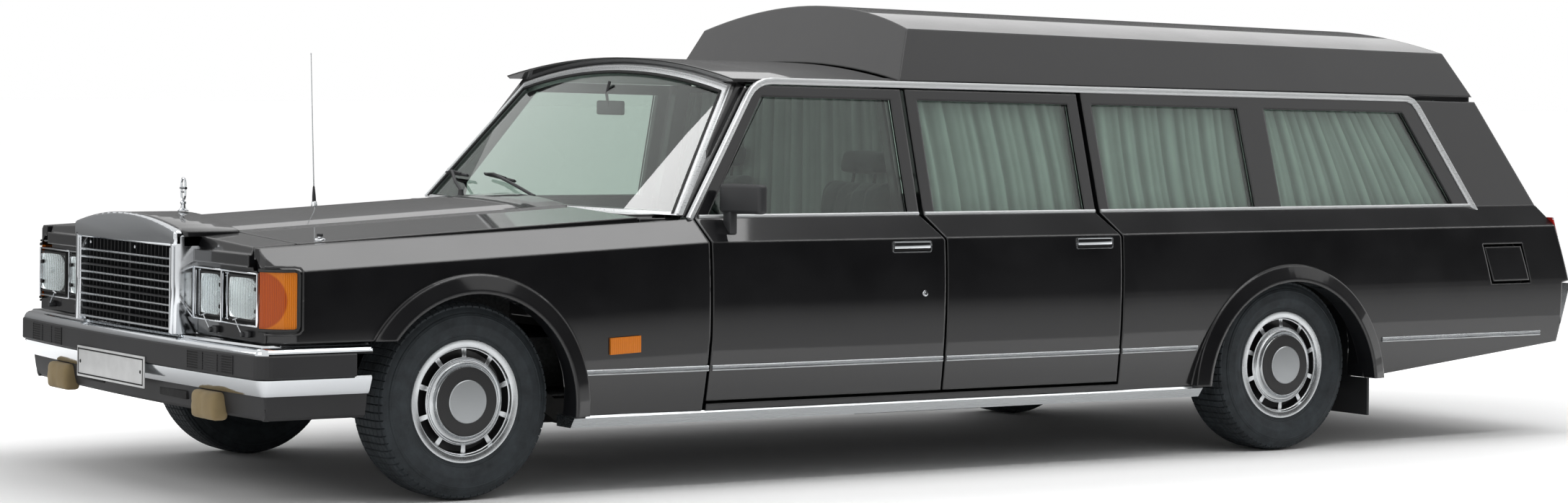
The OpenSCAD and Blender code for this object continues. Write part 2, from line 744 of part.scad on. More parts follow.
module screen_front(grow) {
  top = screen_len + 80;
  top_half = screen_half[0] + (screen_half[1] - screen_half[0]) * top / screen_len;
  rotate([90, 0, 90]) translate([0, 0, -500]) linear_extrude(600) intersection() {
    polygon([[-screen_half[0] - grow, -grow], [screen_half[0] + grow, -grow],
             [top_half + grow, top + grow],
             [-top_half - grow, top + grow]]);
    screen_below(grow);
  }
}
module windscreen() {
  color(glass_tint) intersection() {
    screen_place() intersection() {
      screen_sheet(glass_t, 8);
      screen_front(-seat_gap);
    }
    bar(a_x - 800, front_x, -half_w, half_w, screen_z, crest_z);
  }
}
module windscreen_surround() {
  color(chrome) difference() {
    intersection() {
      screen_place() intersection() {
        screen_sheet(34, 0);
        screen_front(screen_edge);
      }
      bar(a_x - 800, front_x, -half_w, half_w, belt_z + 12, crest_z);
    }
    intersection() {
      screen_place() screen_front(0);
      bar(a_x - 800, front_x, -half_w, half_w, screen_z - seat_gap, crest_z);
    }
  }
}
module cowl() {
  color(black) {
    difference() {
      bar(a_x + 60, a_x + 90, -half_w + 110, half_w - 110, floor_z + 40 + seat_gap, belt_z - 70);
      bar(a_x, a_x + 200, -230 - seat_gap, 230 + seat_gap, 0, tunnel_z + seat_gap);
    }
    bar(a_x + 60, bonnet_rear_x - gap, -bonnet_half + 10, bonnet_half - 10, belt_z - 71, belt_z);
    bar(a_x + 60, bonnet_rear_x - gap, -815, 815, belt_z - 1, belt_z + 12 - seat_gap);
    left_and_right() {
      bar(bonnet_rear_x - 40, bonnet_rear_x - 4.2, 500, 560, belt_z - 40, belt_z + 12);
      for (z = [470, 760]) {
        bar(a_x - 60, a_x + 61, half_w - wall - 92, half_w - wall - barrel_sag(z) - 8, z, z + 60);
        bar(a_x - 60, a_x - 30, half_w - wall - 92, half_w - wall - barrel_sag(z) - 0.6, z, z + 60);
      }
      bar(a_x + 60, a_x + 90, half_w - 111, half_w - wing_t - 90 * tan(wing_turn) - 0.5, 680, 720);
    }
  }
}

// Tailgate, from the raised roof down to the bumper
gate_foot_z = bumper_rear_z[1] + 14;
gate_outline = [
  [tail_x(gate_top_z) + 6, gate_top_z], [tail_belt_x + 4, belt_z],
  [tail_low(gate_foot_z) + 4, gate_foot_z],
  [tail_low(gate_foot_z) + 4 + gate_t, gate_foot_z], [tail_belt_x + 4 + gate_t, belt_z],
  [tail_x(gate_top_z) + 6 + gate_t, gate_top_z]];
module gate_front() {
  belt_half = glass_y - frame_wall + (back_x - c_x) * tan(quarter_turn) - 16;
  top_half = raised_foot - roof_wall - 108;
  along(back_x - 50, 0) polygon([[-gate_half, 500], [gate_half, 500], [gate_half, belt_z - 40],
                                 [belt_half, belt_z + 10],
    [top_half, gate_top_z - 80], [430, gate_top_z], [-430, gate_top_z], [-top_half, gate_top_z - 80],
    [-belt_half, belt_z + 10],
    [-gate_half, belt_z - 40]]);
}
gate_window_z = [belt_z + 70, gate_top_z - 120];
module gate_window(inset) {
  function half_at(z) = 720 - (z - belt_z) * 0.28 - inset;
  along(back_x - 50, 0) polygon([[-half_at(gate_window_z[0]), gate_window_z[0] + inset],
                                 [half_at(gate_window_z[0]), gate_window_z[0] + inset],
    [half_at(gate_window_z[1]), gate_window_z[1] - inset],
    [-half_at(gate_window_z[1]), gate_window_z[1] - inset]]);
}
module tailgate() {
  color(black) difference() {
    intersection() {
      across(gate_outline);
      gate_front();
    }
    gate_window(0);
  }
}
module tailgate_glass() {
  color(glass_tint) intersection() {
    across([[tail_x(belt_z) + 20, belt_z], [tail_x(gate_top_z) + 20, gate_top_z],
            [tail_x(gate_top_z) + 28, gate_top_z], [tail_x(belt_z) + 28, belt_z]]);
    gate_window(seat_gap);
  }
}
module rear_bumper() {
  z = bumper_rear_z;
  end_y = half_w + (back_x - c_x) * tan(quarter_turn) - 6;
  color(chrome) across([[back_x + bumper_depth, z[0]], [back_x, z[1] - 8], [back_x + 6, z[1]],
                        [back_x + bumper_depth, z[1]]], -end_y, end_y);
}
module tail_lamps() {
  z = [690, belt_z - 48];
  color("#8c1210") left_and_right() across([[tail_low(z[0]) - 10, z[0]],
                                            [tail_low(z[0]) - seat_gap, z[0]],
    [tail_low(z[1]) - seat_gap, z[1]], [tail_low(z[1]) - 10, z[1]]], gate_half + 16, gate_half + 126);
}

// Cabin floor, wheel houses and running gear
floor_z = 300;
load_z = 580;
tunnel_z = 560;
rail_y = [400, 490];
house_r = 476;
house_in = rear_track / 2 - 211.5;   // inner wall of the rear wheel houses
module floor_pan() {
  inner = half_w - wall - 46;
  rear_inner = gate_half - 14;
  sill_x = back_x + bumper_depth + seat_gap;
  color(grey_black) {
    difference() {
      union() {
        bar(rear_axle_x + 560, a_x + 90, -inner, inner, floor_z, floor_z + 40);
        bar(rear_axle_x + 560, a_x + 90, -230, 230, floor_z, tunnel_z);
      }
      bar(rear_axle_x + 500, a_x + 200, -200, 200, floor_z - 1, tunnel_z - 30);
    }
    left_and_right() bar(c_x, a_x, inner - 6, half_w - wall - 32.3, floor_z, door_z - gap - 1);
    difference() {
      bar(back_x + 120, rear_axle_x + 600, -rear_inner, rear_inner, load_z, load_z + 30);
      left_and_right() bar(rear_axle_x - house_r, rear_axle_x + house_r, house_in, half_w, load_z - 1,
                           load_z + 31);
    }
    bar(sill_x, back_x + 121, -rear_inner, rear_inner, bumper_rear_z[0] + 10, bumper_rear_z[1] - 4);
    left_and_right() bar(rear_axle_x + 560, rear_axle_x + 600, 229, rear_inner, floor_z + 39,
                         load_z + 1);
    left_and_right() difference() {
      translate([rear_axle_x, 600, tyre_r]) rotate([-90, 0, 0]) cylinder(r = house_r, h = 300);
      translate([rear_axle_x, 630, tyre_r]) rotate([-90, 0, 0]) cylinder(r = house_r - 30, h = 400);
      bar(rear_axle_x - 600, rear_axle_x + 600, 500, half_w, -300, load_z);
    }
  }
}
module chassis_frame() {
  top = floor_z - seat_gap;
  color(grey_black) {
    left_and_right()
      across([[front_x - 77.5, 416], [front_x - 77.5, 450], [front_x - 150, 440],
              [front_axle_x - 420, 440], [front_axle_x - 640, top], [rear_axle_x + 559, top],
              [rear_axle_x + 380, 560], [rear_axle_x - 380, 560], [rear_axle_x - 560, 520],
              [back_x + 121 + seat_gap, 520], [back_x + 121 + seat_gap, 440],
              [rear_axle_x - 620, 440], [rear_axle_x - 430, 470], [rear_axle_x + 330, 470],
              [rear_axle_x + 560, 206],
              [front_axle_x - 660, 206], [front_axle_x - 440, 360], [front_x - 150, 360]], rail_y[0],
              rail_y[1]);
    bar(front_x - 240, front_x - 170, -rail_y[0] - 1, rail_y[0] + 1, 380, 430);
    for (x = [front_axle_x - 1330, rear_axle_x + 900])
      bar(x, x + 70, -rail_y[0] - 1, rail_y[0] + 1, 266, 296);
  }
}
module engine() {
  color(steel) {
    bar(front_axle_x - 560, front_axle_x + 260, -290, 290, 440, 880);
    bar(front_axle_x - 500, front_axle_x + 200, -160, 160, 275, 441);
    bar(front_axle_x - 1250, front_axle_x - 559, -150, 150, 310, 500);
    left_and_right() bar(front_axle_x + 70, front_axle_x + 170, 250, rail_y[0] - seat_gap, 400, 446);
    translate([rear_axle_x + 130, 0, tyre_r]) rotate([0, 90, 0])
      cylinder(r = 42, h = wheelbase - 1249 - 130);
  }
}
pipe_z = 222;
pipe_y = 290 + 30 + seat_gap;
module exhaust() {
  color(steel) left_and_right() {
    rod([front_axle_x - 300, pipe_y, pipe_z], [rear_axle_x - 620, pipe_y, pipe_z], 30);
    rod([front_axle_x - 300, pipe_y, pipe_z - 20], [front_axle_x - 300, pipe_y, 500], 30);
    rod([rear_axle_x + 1100, pipe_y, pipe_z], [rear_axle_x + 1720, pipe_y, pipe_z], 58);
  }
}
module rear_axle() {
  hub = rear_track / 2;
  color(steel) {
    translate([rear_axle_x, -hub + 50, tyre_r]) rotate([-90, 0, 0]) cylinder(r = 46, h = 2 * hub - 100);
    translate([rear_axle_x, -hub - 60, tyre_r]) rotate([-90, 0, 0])
      cylinder(r = stub_r, h = 2 * hub + 120);
    translate([rear_axle_x, 0, tyre_r]) sphere(r = 128);
    left_and_right() {
      bar(rear_axle_x - 60, rear_axle_x + 60, 545, 605, tyre_r - 70, tyre_r - 30);
      across([[rear_axle_x - 640, 450], [rear_axle_x - 640, 466], [rear_axle_x, tyre_r - 46],
              [rear_axle_x + 560, 376],
              [rear_axle_x + 560, 360], [rear_axle_x, tyre_r - 70]], 550, 600);
      bar(rear_axle_x - 640, rear_axle_x - 590, rail_y[1] + seat_gap, 600, 440, 470);
      bar(rear_axle_x + 510, rear_axle_x + 560, rail_y[1] + seat_gap, 600, 330, 376);
    }
  }
}
king_y = front_track / 2 - 30;
module front_suspension() {
  color(steel) {
    bar(front_axle_x - 60, front_axle_x + 60, -486, 486, 230, 262);
    left_and_right() {
      bar(front_axle_x - 50, front_axle_x + 50, 405, 485, 261, 360 - seat_gap);
      bar(front_axle_x - 30, front_axle_x + 30, 480, king_y + 25, 238, 260);
      bar(front_axle_x - 40, front_axle_x + 40, 410, 486, 440 + seat_gap, 482);
      bar(front_axle_x - 26, front_axle_x + 26, 480, king_y + 25, 462, 482);
    }
  }
}
module fuel_tank() {
  color(grey_black) bar(back_x + 260, rear_axle_x - 560, -rail_y[0] + seat_gap, rail_y[0] - seat_gap,
                        340, load_z - seat_gap);
}
module mud_flaps() {
  x = [rear_axle_x - house_r - 16, rear_axle_x - house_r - 4];
  y = rear_track / 2 - 140;
  color(grey_black) left_and_right() {
    bar(x[0], x[1], y, gate_half - 20, panel_z - 11, load_z - seat_gap);
    bar(x[0], x[1], y - 30, y + 240, 125, panel_z - 10);
  }
}

// Wheels, drawn at the origin with the outside towards +Y
module tyre_profile() {
  h = tyre_w / 2;
  polygon([[rim_r + seat_gap, -h + 25], [rim_r + 32, -h + 25], [rim_r + 50, -h + 12], [rim_r + 95, -h],
           [tyre_r - 27, -h + 7], [tyre_r - 8, -h + 25],
           [tyre_r, -h + 46], [tyre_r, h - 46], [tyre_r - 8, h - 25], [tyre_r - 27, h - 7],
           [rim_r + 95, h], [rim_r + 50, h - 12], [rim_r + 32, h - 25], [rim_r + seat_gap, h - 25]]);
}
module turned() { rotate([-90, 0, 0]) rotate_extrude() children(); }
module tyre() { color("#1a1b1c") turned() tyre_profile(); }
module rim() {
  face = tyre_w / 2 - 24;
  bore = stub_r + run_gap;
  color(chrome) difference() {
    turned() polygon([[bore, 20], [rim_r - 16, 20], [rim_r - 16, -face + 10], [rim_r, -face],
                      [rim_r, face], [rim_r + 29, face], [rim_r + 29, face + 10], [rim_r - 2, face + 4],
                      [rim_r - 37, face - 16], [rim_r - 62, face + 6], [rim_r - 76, face + 8],
                      [rim_r - 82, face - 4], [74, face + 22], [72, face + 28], [0, face + 32], [0, 62],
                      [bore, 62]]);
    for (i = [0:slots - 1]) rotate([0, i * 360 / slots, 0])
      translate([rim_r - 37, face - 60, -38]) cube([32, 120, 76]);
  }
}
module wheel_at(x, track, side) {
  translate([x, side * track / 2, tyre_r]) mirror([0, side > 0 ? 0 : 1, 0]) children();
}
module knuckle(side) {
  color(steel) translate([front_axle_x, 0, tyre_r]) mirror([0, side > 0 ? 0 : 1, 0]) {
    translate([0, king_y + 42, 0]) rotate([-90, 0, 0]) cylinder(r = stub_r, h = 48);
    translate([0, king_y, 260 + seat_gap - tyre_r]) cylinder(r = 32, h = 202 - 2 * seat_gap);
    translate([0, king_y + 8, 0]) rotate([-90, 0, 0]) cylinder(r = 56, h = 36);
  }
}

// Cabin furniture
dash_x = a_x - 70;
wheel_centre = [a_x - 420, 400, 880];
wheel_lean = 62;
column = [sin(wheel_lean), 0, -cos(wheel_lean)];      // from the steering wheel towards the dash
module dashboard() {
  color(grey_black) {
    across([[dash_x + 60, 640], [dash_x + 130 - seat_gap, 700], [dash_x + 130 - seat_gap, 900],
            [dash_x + 40, 945], [dash_x - 120, 930],
            [dash_x - 160, 860], [dash_x - 90, 640]], -half_w + 190, half_w - 190);
    rod(wheel_centre + 15.5 * column, wheel_centre + 330 * column, 24);
  }
}
module steering_wheel() {
  color(grey_black) translate(wheel_centre) rotate([0, -wheel_lean, 0]) {
    rotate_extrude() translate([195, 0]) circle(13, $fn = 32);
    cylinder(r = 48, h = 30, center = true);
    for (a = [0, 120, 240]) rotate([0, 0, a]) bar(30, 190, -16, 16, -6, 6);
  }
}
seat_y = [245, 740];
module seat_pair(x) {
  foot = floor_z + 40 + seat_gap;
  left_and_right() across([[x - 60, foot], [x + 510, foot], [x + 530, 540], [x + 480, 600],
                           [x + 80, 570], [x - 50, 1230],
                           [x - 150, 1230], [x - 80, 560]], seat_y[0], seat_y[1]);
}
module seats() {
  color("#3a3d3c") {
    seat_pair(a_x - 960);
    seat_pair(b_x - 790);
  }
}

// Small fittings
// Each wiper: foot of its spindle, then the far end of its blade, from the bonnet's rear edge and the belt
wiper_table = [[[-26, 114, 12], [-124, -330, 120]], [[-40, -462, 12], [-174, -748, 112]]];
module wipers() {
  color(grey_black) for (w = wiper_table) translate([bonnet_rear_x, 0, belt_z]) {
    head = w[0] + [0, 0, 40];
    translate(w[0]) cylinder(r = 9, h = 48);
    rod(head, w[1], 7);
  }
}
module antenna() {
  color(chrome) mirror([0, 1, 0]) wing_place() translate([front_axle_x - 355, bonnet_half + 32,
      belt_z + seat_gap]) {
    cylinder(r = 14, h = 26);
    cylinder(r = 3, h = 620);
  }
}
module flag_holder() {
  color(chrome) translate([bonnet_front_x + gap + 14, 0, shell_z + shell_crown + seat_gap]) {
    cylinder(r = 13, h = 44);
    translate([0, 0, 43]) difference() {
      bar(-8, 8, -22, 22, 0, 84);
      bar(-9, 9, -13, 13, 9, 75);
    }
  }
}

chassis_frame();
floor_pan();
cowl();
engine();
exhaust();
rear_axle();
front_suspension();
fuel_tank();
front_wings();
nose_panel();
quarter_panels();
sill_trims();
roof();
raised_roof();
windscreen();
windscreen_surround();
quarter_glass();
grille();
headlamp_bezels();
headlamp_lenses();
amber_lamps();
front_bumper();
bumper_cladding();
fog_lamps();
rear_bumper();
tail_lamps();
wipers();
antenna();
flag_holder();
dashboard();
seats();
quarter_curtains();
mud_flaps();
bonnet();
front_door();  // door_front_left
mirror([0, 1, 0]) front_door();  // door_front_right
rear_door();  // door_rear_left
mirror([0, 1, 0]) rear_door();  // door_rear_right
front_pane();  // glass_front_left
mirror([0, 1, 0]) front_pane();  // glass_front_right
rear_pane();  // glass_rear_left
mirror([0, 1, 0]) rear_pane();  // glass_rear_right
mirror_head();  // mirror_left
mirror([0, 1, 0]) mirror_head();  // mirror_right
rear_curtain();  // curtain_rear_left
mirror([0, 1, 0]) rear_curtain();  // curtain_rear_right
tailgate();
tailgate_glass();
fuel_flap();
steering_wheel();
knuckle(1);  // knuckle_left
knuckle(-1);  // knuckle_right
wheel_at(front_axle_x, front_track, 1) tyre();  // tyre_front_left
wheel_at(front_axle_x, front_track, -1) tyre();  // tyre_front_right
wheel_at(rear_axle_x, rear_track, 1) tyre();  // tyre_rear_left
wheel_at(rear_axle_x, rear_track, -1) tyre();  // tyre_rear_right
wheel_at(front_axle_x, front_track, 1) rim();  // rim_front_left
wheel_at(front_axle_x, front_track, -1) rim();  // rim_front_right
wheel_at(rear_axle_x, rear_track, 1) rim();  // rim_rear_left
wheel_at(rear_axle_x, rear_track, -1) rim();  // rim_rear_right
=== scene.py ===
# %% [markdown]
# # A long black station wagon, dressed for a studio picture
# The solids of the car come in as a fixed frame, in metres: +X is the way it drives, +Y is its left
# side and +Z is up. Nothing in that frame is moved. Each cell below adds one kind of piece, such as
# a tyre or a pleated curtain, or one finish, and says which moving part of the car carries it.

# %% Load the car
import bpy
import bmesh
import json
import math
import random
from mathutils import Matrix, Vector


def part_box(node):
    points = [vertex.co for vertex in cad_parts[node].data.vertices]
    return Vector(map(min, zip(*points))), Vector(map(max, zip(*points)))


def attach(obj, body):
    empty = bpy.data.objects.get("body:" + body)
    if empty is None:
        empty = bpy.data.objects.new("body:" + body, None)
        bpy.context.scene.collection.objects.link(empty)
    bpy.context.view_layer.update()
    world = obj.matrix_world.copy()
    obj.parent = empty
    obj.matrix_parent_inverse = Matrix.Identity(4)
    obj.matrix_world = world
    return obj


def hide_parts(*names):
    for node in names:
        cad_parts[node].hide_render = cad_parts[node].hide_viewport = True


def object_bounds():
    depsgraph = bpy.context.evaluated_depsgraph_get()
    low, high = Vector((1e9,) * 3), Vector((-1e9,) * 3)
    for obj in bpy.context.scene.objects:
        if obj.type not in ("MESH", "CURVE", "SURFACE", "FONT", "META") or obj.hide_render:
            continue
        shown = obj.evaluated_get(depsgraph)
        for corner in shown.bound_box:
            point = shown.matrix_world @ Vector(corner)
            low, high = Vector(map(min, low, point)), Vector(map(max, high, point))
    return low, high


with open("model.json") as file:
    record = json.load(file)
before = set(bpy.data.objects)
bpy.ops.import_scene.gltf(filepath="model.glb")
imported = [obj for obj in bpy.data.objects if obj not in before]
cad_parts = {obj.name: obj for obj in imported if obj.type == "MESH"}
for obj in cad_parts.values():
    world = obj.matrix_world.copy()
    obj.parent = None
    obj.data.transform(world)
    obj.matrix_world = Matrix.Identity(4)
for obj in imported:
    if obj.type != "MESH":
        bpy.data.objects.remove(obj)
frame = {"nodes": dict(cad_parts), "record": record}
cad_low, cad_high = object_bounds()
print("car:", [round(v, 3) for v in cad_high - cad_low], "m,", len(frame["nodes"]), "solids")

# %% [markdown]
# ## The camera
# The picture was taken from the front left, at about the height of the bonnet, with a long lens
# from some fourteen metres away. The lens and the place were solved from the wheels, the doors and
# the front. A long lens keeps the near and the far wheel almost the same size. The car isn't in the
# middle of the lens's axis, so the frame is shifted a little sideways.

# %% Camera
camera = bpy.data.objects.new("camera", bpy.data.cameras.new("camera"))
bpy.context.scene.collection.objects.link(camera)
camera.data.lens = 78.73
camera.data.sensor_width = 36.0
camera.data.shift_x = 0.1920
camera.data.shift_y = -0.1115
camera.data.clip_end = 400.0
camera.matrix_world = (Matrix.Translation((8.4073, 11.3893, 1.5065))
                       @ Matrix.Rotation(math.radians(-120.546 - 90), 4, "Z")
                       @ Matrix.Rotation(math.radians(90 - 0.029), 4, "X")
                       @ Matrix.Rotation(math.radians(0.616), 4, "Z"))
bpy.context.scene.camera = camera
bpy.context.scene.view_settings.view_transform = "Standard"

# %% [markdown]
# ## Finishes
# Two small tools serve all the materials. One turns a colour as it is written for a screen into the
# linear values that the shader works with. The other adds a node with its settings and links, so
# that each material below reads as a short list of what its surface is made of.

# %% Tools for finishes
def linear(hex_colour):
    parts = [int(hex_colour[i:i + 2], 16) / 255 for i in (1, 3, 5)]
    return (*[v / 12.92 if v <= 0.04045 else ((v + 0.055) / 1.055) ** 2.4 for v in parts], 1.0)


def add(tree, kind, inputs=None, **settings):
    node = tree.nodes.new(kind)
    for key, value in settings.items():
        setattr(node, key, value)
    for key, value in (inputs or {}).items():
        socket = node.inputs[key]
        if isinstance(value, bpy.types.NodeSocket):
            tree.links.new(value, socket)
        else:
            socket.default_value = value
    return node


def new_finish(name, **sockets):
    """An empty material with one shader: the material, its tree, the shader and its place on the piece."""
    material = bpy.data.materials.new(name)
    material.use_nodes = True
    tree = material.node_tree
    tree.nodes.clear()
    shader = add(tree, "ShaderNodeBsdfPrincipled", {k.replace("_", " "): v for k, v in sockets.items()})
    add(tree, "ShaderNodeOutputMaterial", {"Surface": shader.outputs[0]})
    return material, tree, shader, add(tree, "ShaderNodeTexCoord").outputs["Object"]


# %% [markdown]
# ## Black enamel
# The body is sprayed with black stoving enamel and polished. Up close such paint has a faint ripple,
# about 10 mm from crest to crest, that makes reflections waver, and a film of dust that dulls the
# gloss in patches. A hard clear coat over a dark base gives both: the base is dull, the coat sharp.
# Pressed steel has no knife edges: the shading is rounded over 10 mm where two faces meet.

# %% Black enamel
black_enamel, tree, shader, place = new_finish(
    "black_enamel", Base_Color=linear("#0a0a0b"), Roughness=0.35, Specular_IOR_Level=0.15,
    Coat_Weight=1.0, Coat_Roughness=0.04)
dust = add(tree, "ShaderNodeTexNoise", {"Vector": place, "Scale": 3.2, "Detail": 6.0, "Roughness": 0.62})
dulled = add(tree, "ShaderNodeMapRange", {"Value": dust.outputs["Fac"], "From Min": 0.35, "From Max": 0.75,
                                          "To Min": 0.30, "To Max": 0.46})
tree.links.new(dulled.outputs[0], shader.inputs["Roughness"])
tone = add(tree, "ShaderNodeValToRGB", {"Fac": dust.outputs["Fac"]})
tone.color_ramp.elements[0].color = linear("#08080a")
tone.color_ramp.elements[1].color = linear("#141416")
tree.links.new(tone.outputs[0], shader.inputs["Base Color"])
ripple = add(tree, "ShaderNodeTexNoise", {"Vector": place, "Scale": 1 / 0.010, "Detail": 2.0})
soft_edge = add(tree, "ShaderNodeBevel", {"Radius": 0.010}, samples=6)
peel = add(
    tree, "ShaderNodeBump",
    {"Height": ripple.outputs["Fac"], "Normal": soft_edge.outputs[0], "Strength": 0.012, "Distance": 0.0004}
)
tree.links.new(peel.outputs[0], shader.inputs["Normal"])
tree.links.new(peel.outputs[0], shader.inputs["Coat Normal"])
print("finish:", black_enamel.name)

# %% [markdown]
# ## Bright metal
# Four bright metals are on the car. Bumpers, lamp frames, handles and wheel covers are chromium
# plate on steel, mirror-bright with a few hazy patches. The strips along the belt, the roof edge and
# the sill, and the wide cap over the windscreen, are stainless steel, rolled and then brushed along
# its length, so its highlights are drawn out. Hub parts and axles are bare forged steel. The rails
# round the doors and the frame of the windscreen are anodised aluminium, paler and softer than chrome.

# %% Bright metal
chrome_plate, tree, shader, place = new_finish(
    "chrome_plate", Base_Color=linear("#d2d5d8"), Metallic=1.0, Roughness=0.1)
haze = add(tree, "ShaderNodeTexNoise", {"Vector": place, "Scale": 9.0, "Detail": 5.0, "Roughness": 0.6})
rubbed = add(tree, "ShaderNodeMapRange", {"Value": haze.outputs["Fac"], "From Min": 0.3, "From Max": 0.8,
                                          "To Min": 0.05, "To Max": 0.17})
tree.links.new(rubbed.outputs[0], shader.inputs["Roughness"])
pits = add(tree, "ShaderNodeTexNoise", {"Vector": place, "Scale": 1 / 0.004, "Detail": 2.0})
pitting = add(tree, "ShaderNodeBump", {"Height": pits.outputs["Fac"], "Strength": 0.03, "Distance": 0.0003})
tree.links.new(pitting.outputs[0], shader.inputs["Normal"])

brushed_steel, tree, shader, place = new_finish(
    "brushed_stainless", Base_Color=linear("#bfc2c4"), Metallic=1.0, Roughness=0.25)
# 2 mm lines, 25 cm long
drawn = add(tree, "ShaderNodeMapping", {"Vector": place, "Scale": (4.0, 420.0, 420.0)})
lines = add(tree, "ShaderNodeTexNoise", {"Vector": drawn.outputs[0], "Scale": 1.0, "Detail": 3.0})
brushed = add(tree, "ShaderNodeMapRange", {"Value": lines.outputs["Fac"], "From Min": 0.3, "From Max": 0.7,
                                           "To Min": 0.16, "To Max": 0.33})
tree.links.new(brushed.outputs[0], shader.inputs["Roughness"])
grain = add(tree, "ShaderNodeBump", {"Height": lines.outputs["Fac"], "Strength": 0.06, "Distance": 0.0004})
tree.links.new(grain.outputs[0], shader.inputs["Normal"])

satin_aluminium, tree, shader, place = new_finish(
    "anodised_aluminium", Base_Color=linear("#d6d8d9"), Metallic=0.4, Roughness=0.3)
rolled = add(tree, "ShaderNodeMapping", {"Vector": place, "Scale": (3.0, 300.0, 300.0)})
streaks = add(tree, "ShaderNodeTexNoise", {"Vector": rolled.outputs[0], "Scale": 1.0, "Detail": 3.0})
streaked = add(
    tree, "ShaderNodeMapRange",
    {"Value": streaks.outputs["Fac"], "From Min": 0.3, "From Max": 0.7, "To Min": 0.24, "To Max": 0.38}
)
tree.links.new(streaked.outputs[0], shader.inputs["Roughness"])

forged_steel, tree, shader, place = new_finish(
    "forged_steel", Base_Color=linear("#56585a"), Metallic=0.9, Roughness=0.5)
scale_skin = add(tree, "ShaderNodeTexNoise", {"Vector": place, "Scale": 1 / 0.012, "Detail": 6.0})
skin = add(tree, "ShaderNodeValToRGB", {"Fac": scale_skin.outputs["Fac"]})
skin.color_ramp.elements[0].color = linear("#3a3735")
skin.color_ramp.elements[1].color = linear("#77797b")
tree.links.new(skin.outputs[0], shader.inputs["Base Color"])
hammered = add(
    tree, "ShaderNodeBump", {"Height": scale_skin.outputs["Fac"], "Strength": 0.3, "Distance": 0.001}
)
tree.links.new(hammered.outputs[0], shader.inputs["Normal"])
print("finishes:", chrome_plate.name, brushed_steel.name, forged_steel.name)

# %% [markdown]
# ## Glass and lenses
# The windows are 6 mm toughened glass with a grey-green tint through the body. The lamps have
# lenses of pressed glass or of acrylic moulded with narrow ribs that spread the light. In the ribbed
# lenses a wave across the surface stands for the ribs, 7 mm apart, and their colour is painted shade
# and highlight: darker in the valleys, lighter on the crests. Real glass is never perfectly
# clean, so a little haze is let in.

# %% Glass and lenses
tinted_glass, tree, shader, place = new_finish(
    "tinted_toughened_glass", Base_Color=linear("#c5d2cb"), Roughness=0.0, IOR=1.5, Transmission_Weight=1.0)
film = add(tree, "ShaderNodeTexNoise", {"Vector": place, "Scale": 6.0, "Detail": 5.0, "Roughness": 0.6})
filmed = add(tree, "ShaderNodeMapRange", {"Value": film.outputs["Fac"], "From Min": 0.4, "From Max": 0.8,
                                          "To Min": 0.0, "To Max": 0.03})
tree.links.new(filmed.outputs[0], shader.inputs["Roughness"])

ribbed_lenses = {}
for lens_name, deep, ridge, edge in (
    ("amber_acrylic", "#a03f04", "#bc5205", "#d27407"), ("red_acrylic", "#5c0806", "#a51a14", "#a51a14")
):
    lens, tree, shader, place = new_finish(
        lens_name, Base_Color=linear(ridge), Roughness=0.16, IOR=1.49, Specular_IOR_Level=0.35
    )
    at = add(tree, "ShaderNodeSeparateXYZ", {"Vector": place}).outputs
    outward = add(tree, "ShaderNodeMath", {0: at["Y"]}, operation="ABSOLUTE")
    round_corner = add(tree, "ShaderNodeMath", {0: at["X"], 1: outward.outputs[0]}, operation="SUBTRACT")
    unrolled = add(tree, "ShaderNodeCombineXYZ", {"X": round_corner.outputs[0], "Z": at["Z"]})
    ribs = add(
        tree, "ShaderNodeTexWave",
        {"Vector": unrolled.outputs[0], "Scale": 0.314 / 0.009, "Distortion": 0.0}, wave_type="BANDS",
        bands_direction="X", wave_profile="SIN"
    )
    ribbed = add(tree, "ShaderNodeBump", {"Height": ribs.outputs["Fac"], "Strength": 0.35, "Distance": 0.002})
    tree.links.new(ribbed.outputs[0], shader.inputs["Normal"])
    # painted shade and highlight: the colour follows the ribs, darker in their valleys and lighter on their
    # crests
    depth = add(tree, "ShaderNodeValToRGB", {"Fac": ribs.outputs["Fac"]})
    depth.color_ramp.elements[0].color = linear(deep)
    depth.color_ramp.elements[1].color = linear(ridge)
    bowl = add(
        tree, "ShaderNodeMapping",
        {"Vector": unrolled.outputs[0], "Location": (-2.169, 0.0, -0.7295), "Scale": (1.0, 0.0, 1.0)}
    )
    bowl = add(
        tree, "ShaderNodeVectorMath", {0: bowl.outputs[0], 1: (1 / 0.133, 0.0, 1 / 0.098)},
        operation="MULTIPLY"
    )
    reach = add(tree, "ShaderNodeVectorMath", {0: bowl.outputs[0]}, operation="LENGTH")
    past = add(
        tree, "ShaderNodeMapRange", {"Value": reach.outputs["Value"], "From Min": 0.96, "From Max": 1.02}
    )
    colour = add(tree, "ShaderNodeMix", {"Factor": past.outputs[0]}, data_type="RGBA")
    tree.links.new(depth.outputs[0], colour.inputs[6])
    colour.inputs[7].default_value = linear(edge)
    tree.links.new(colour.outputs[2], shader.inputs["Base Color"])
    ribbed_lenses[lens_name] = lens

pressed_glass, tree, shader, place = new_finish(
    "pressed_glass", Base_Color=linear("#eef3f3"), Roughness=0.03, IOR=1.5, Transmission_Weight=1.0)
flutes = add(tree, "ShaderNodeTexWave", {"Vector": place, "Scale": 1 / 0.016 / 2, "Distortion": 0.0},
             wave_type="BANDS", bands_direction="Y", wave_profile="SIN")
fluted = add(tree, "ShaderNodeBump", {"Height": flutes.outputs["Fac"], "Strength": 0.12, "Distance": 0.003})
tree.links.new(fluted.outputs[0], shader.inputs["Normal"])
print("finishes:", tinted_glass.name, *ribbed_lenses, pressed_glass.name)

# %% [markdown]
# ## Rubber, plastic and underbody wax
# Tyres are vulcanised rubber filled with soot: charcoal grey, dull, with a bloom that lightens it in
# patches. Mirror housings, the bumper's dark band and the dash are moulded from black plastic with a
# fine leather grain. Under the car all is sprayed with black wax, which dries dull and lumpy.

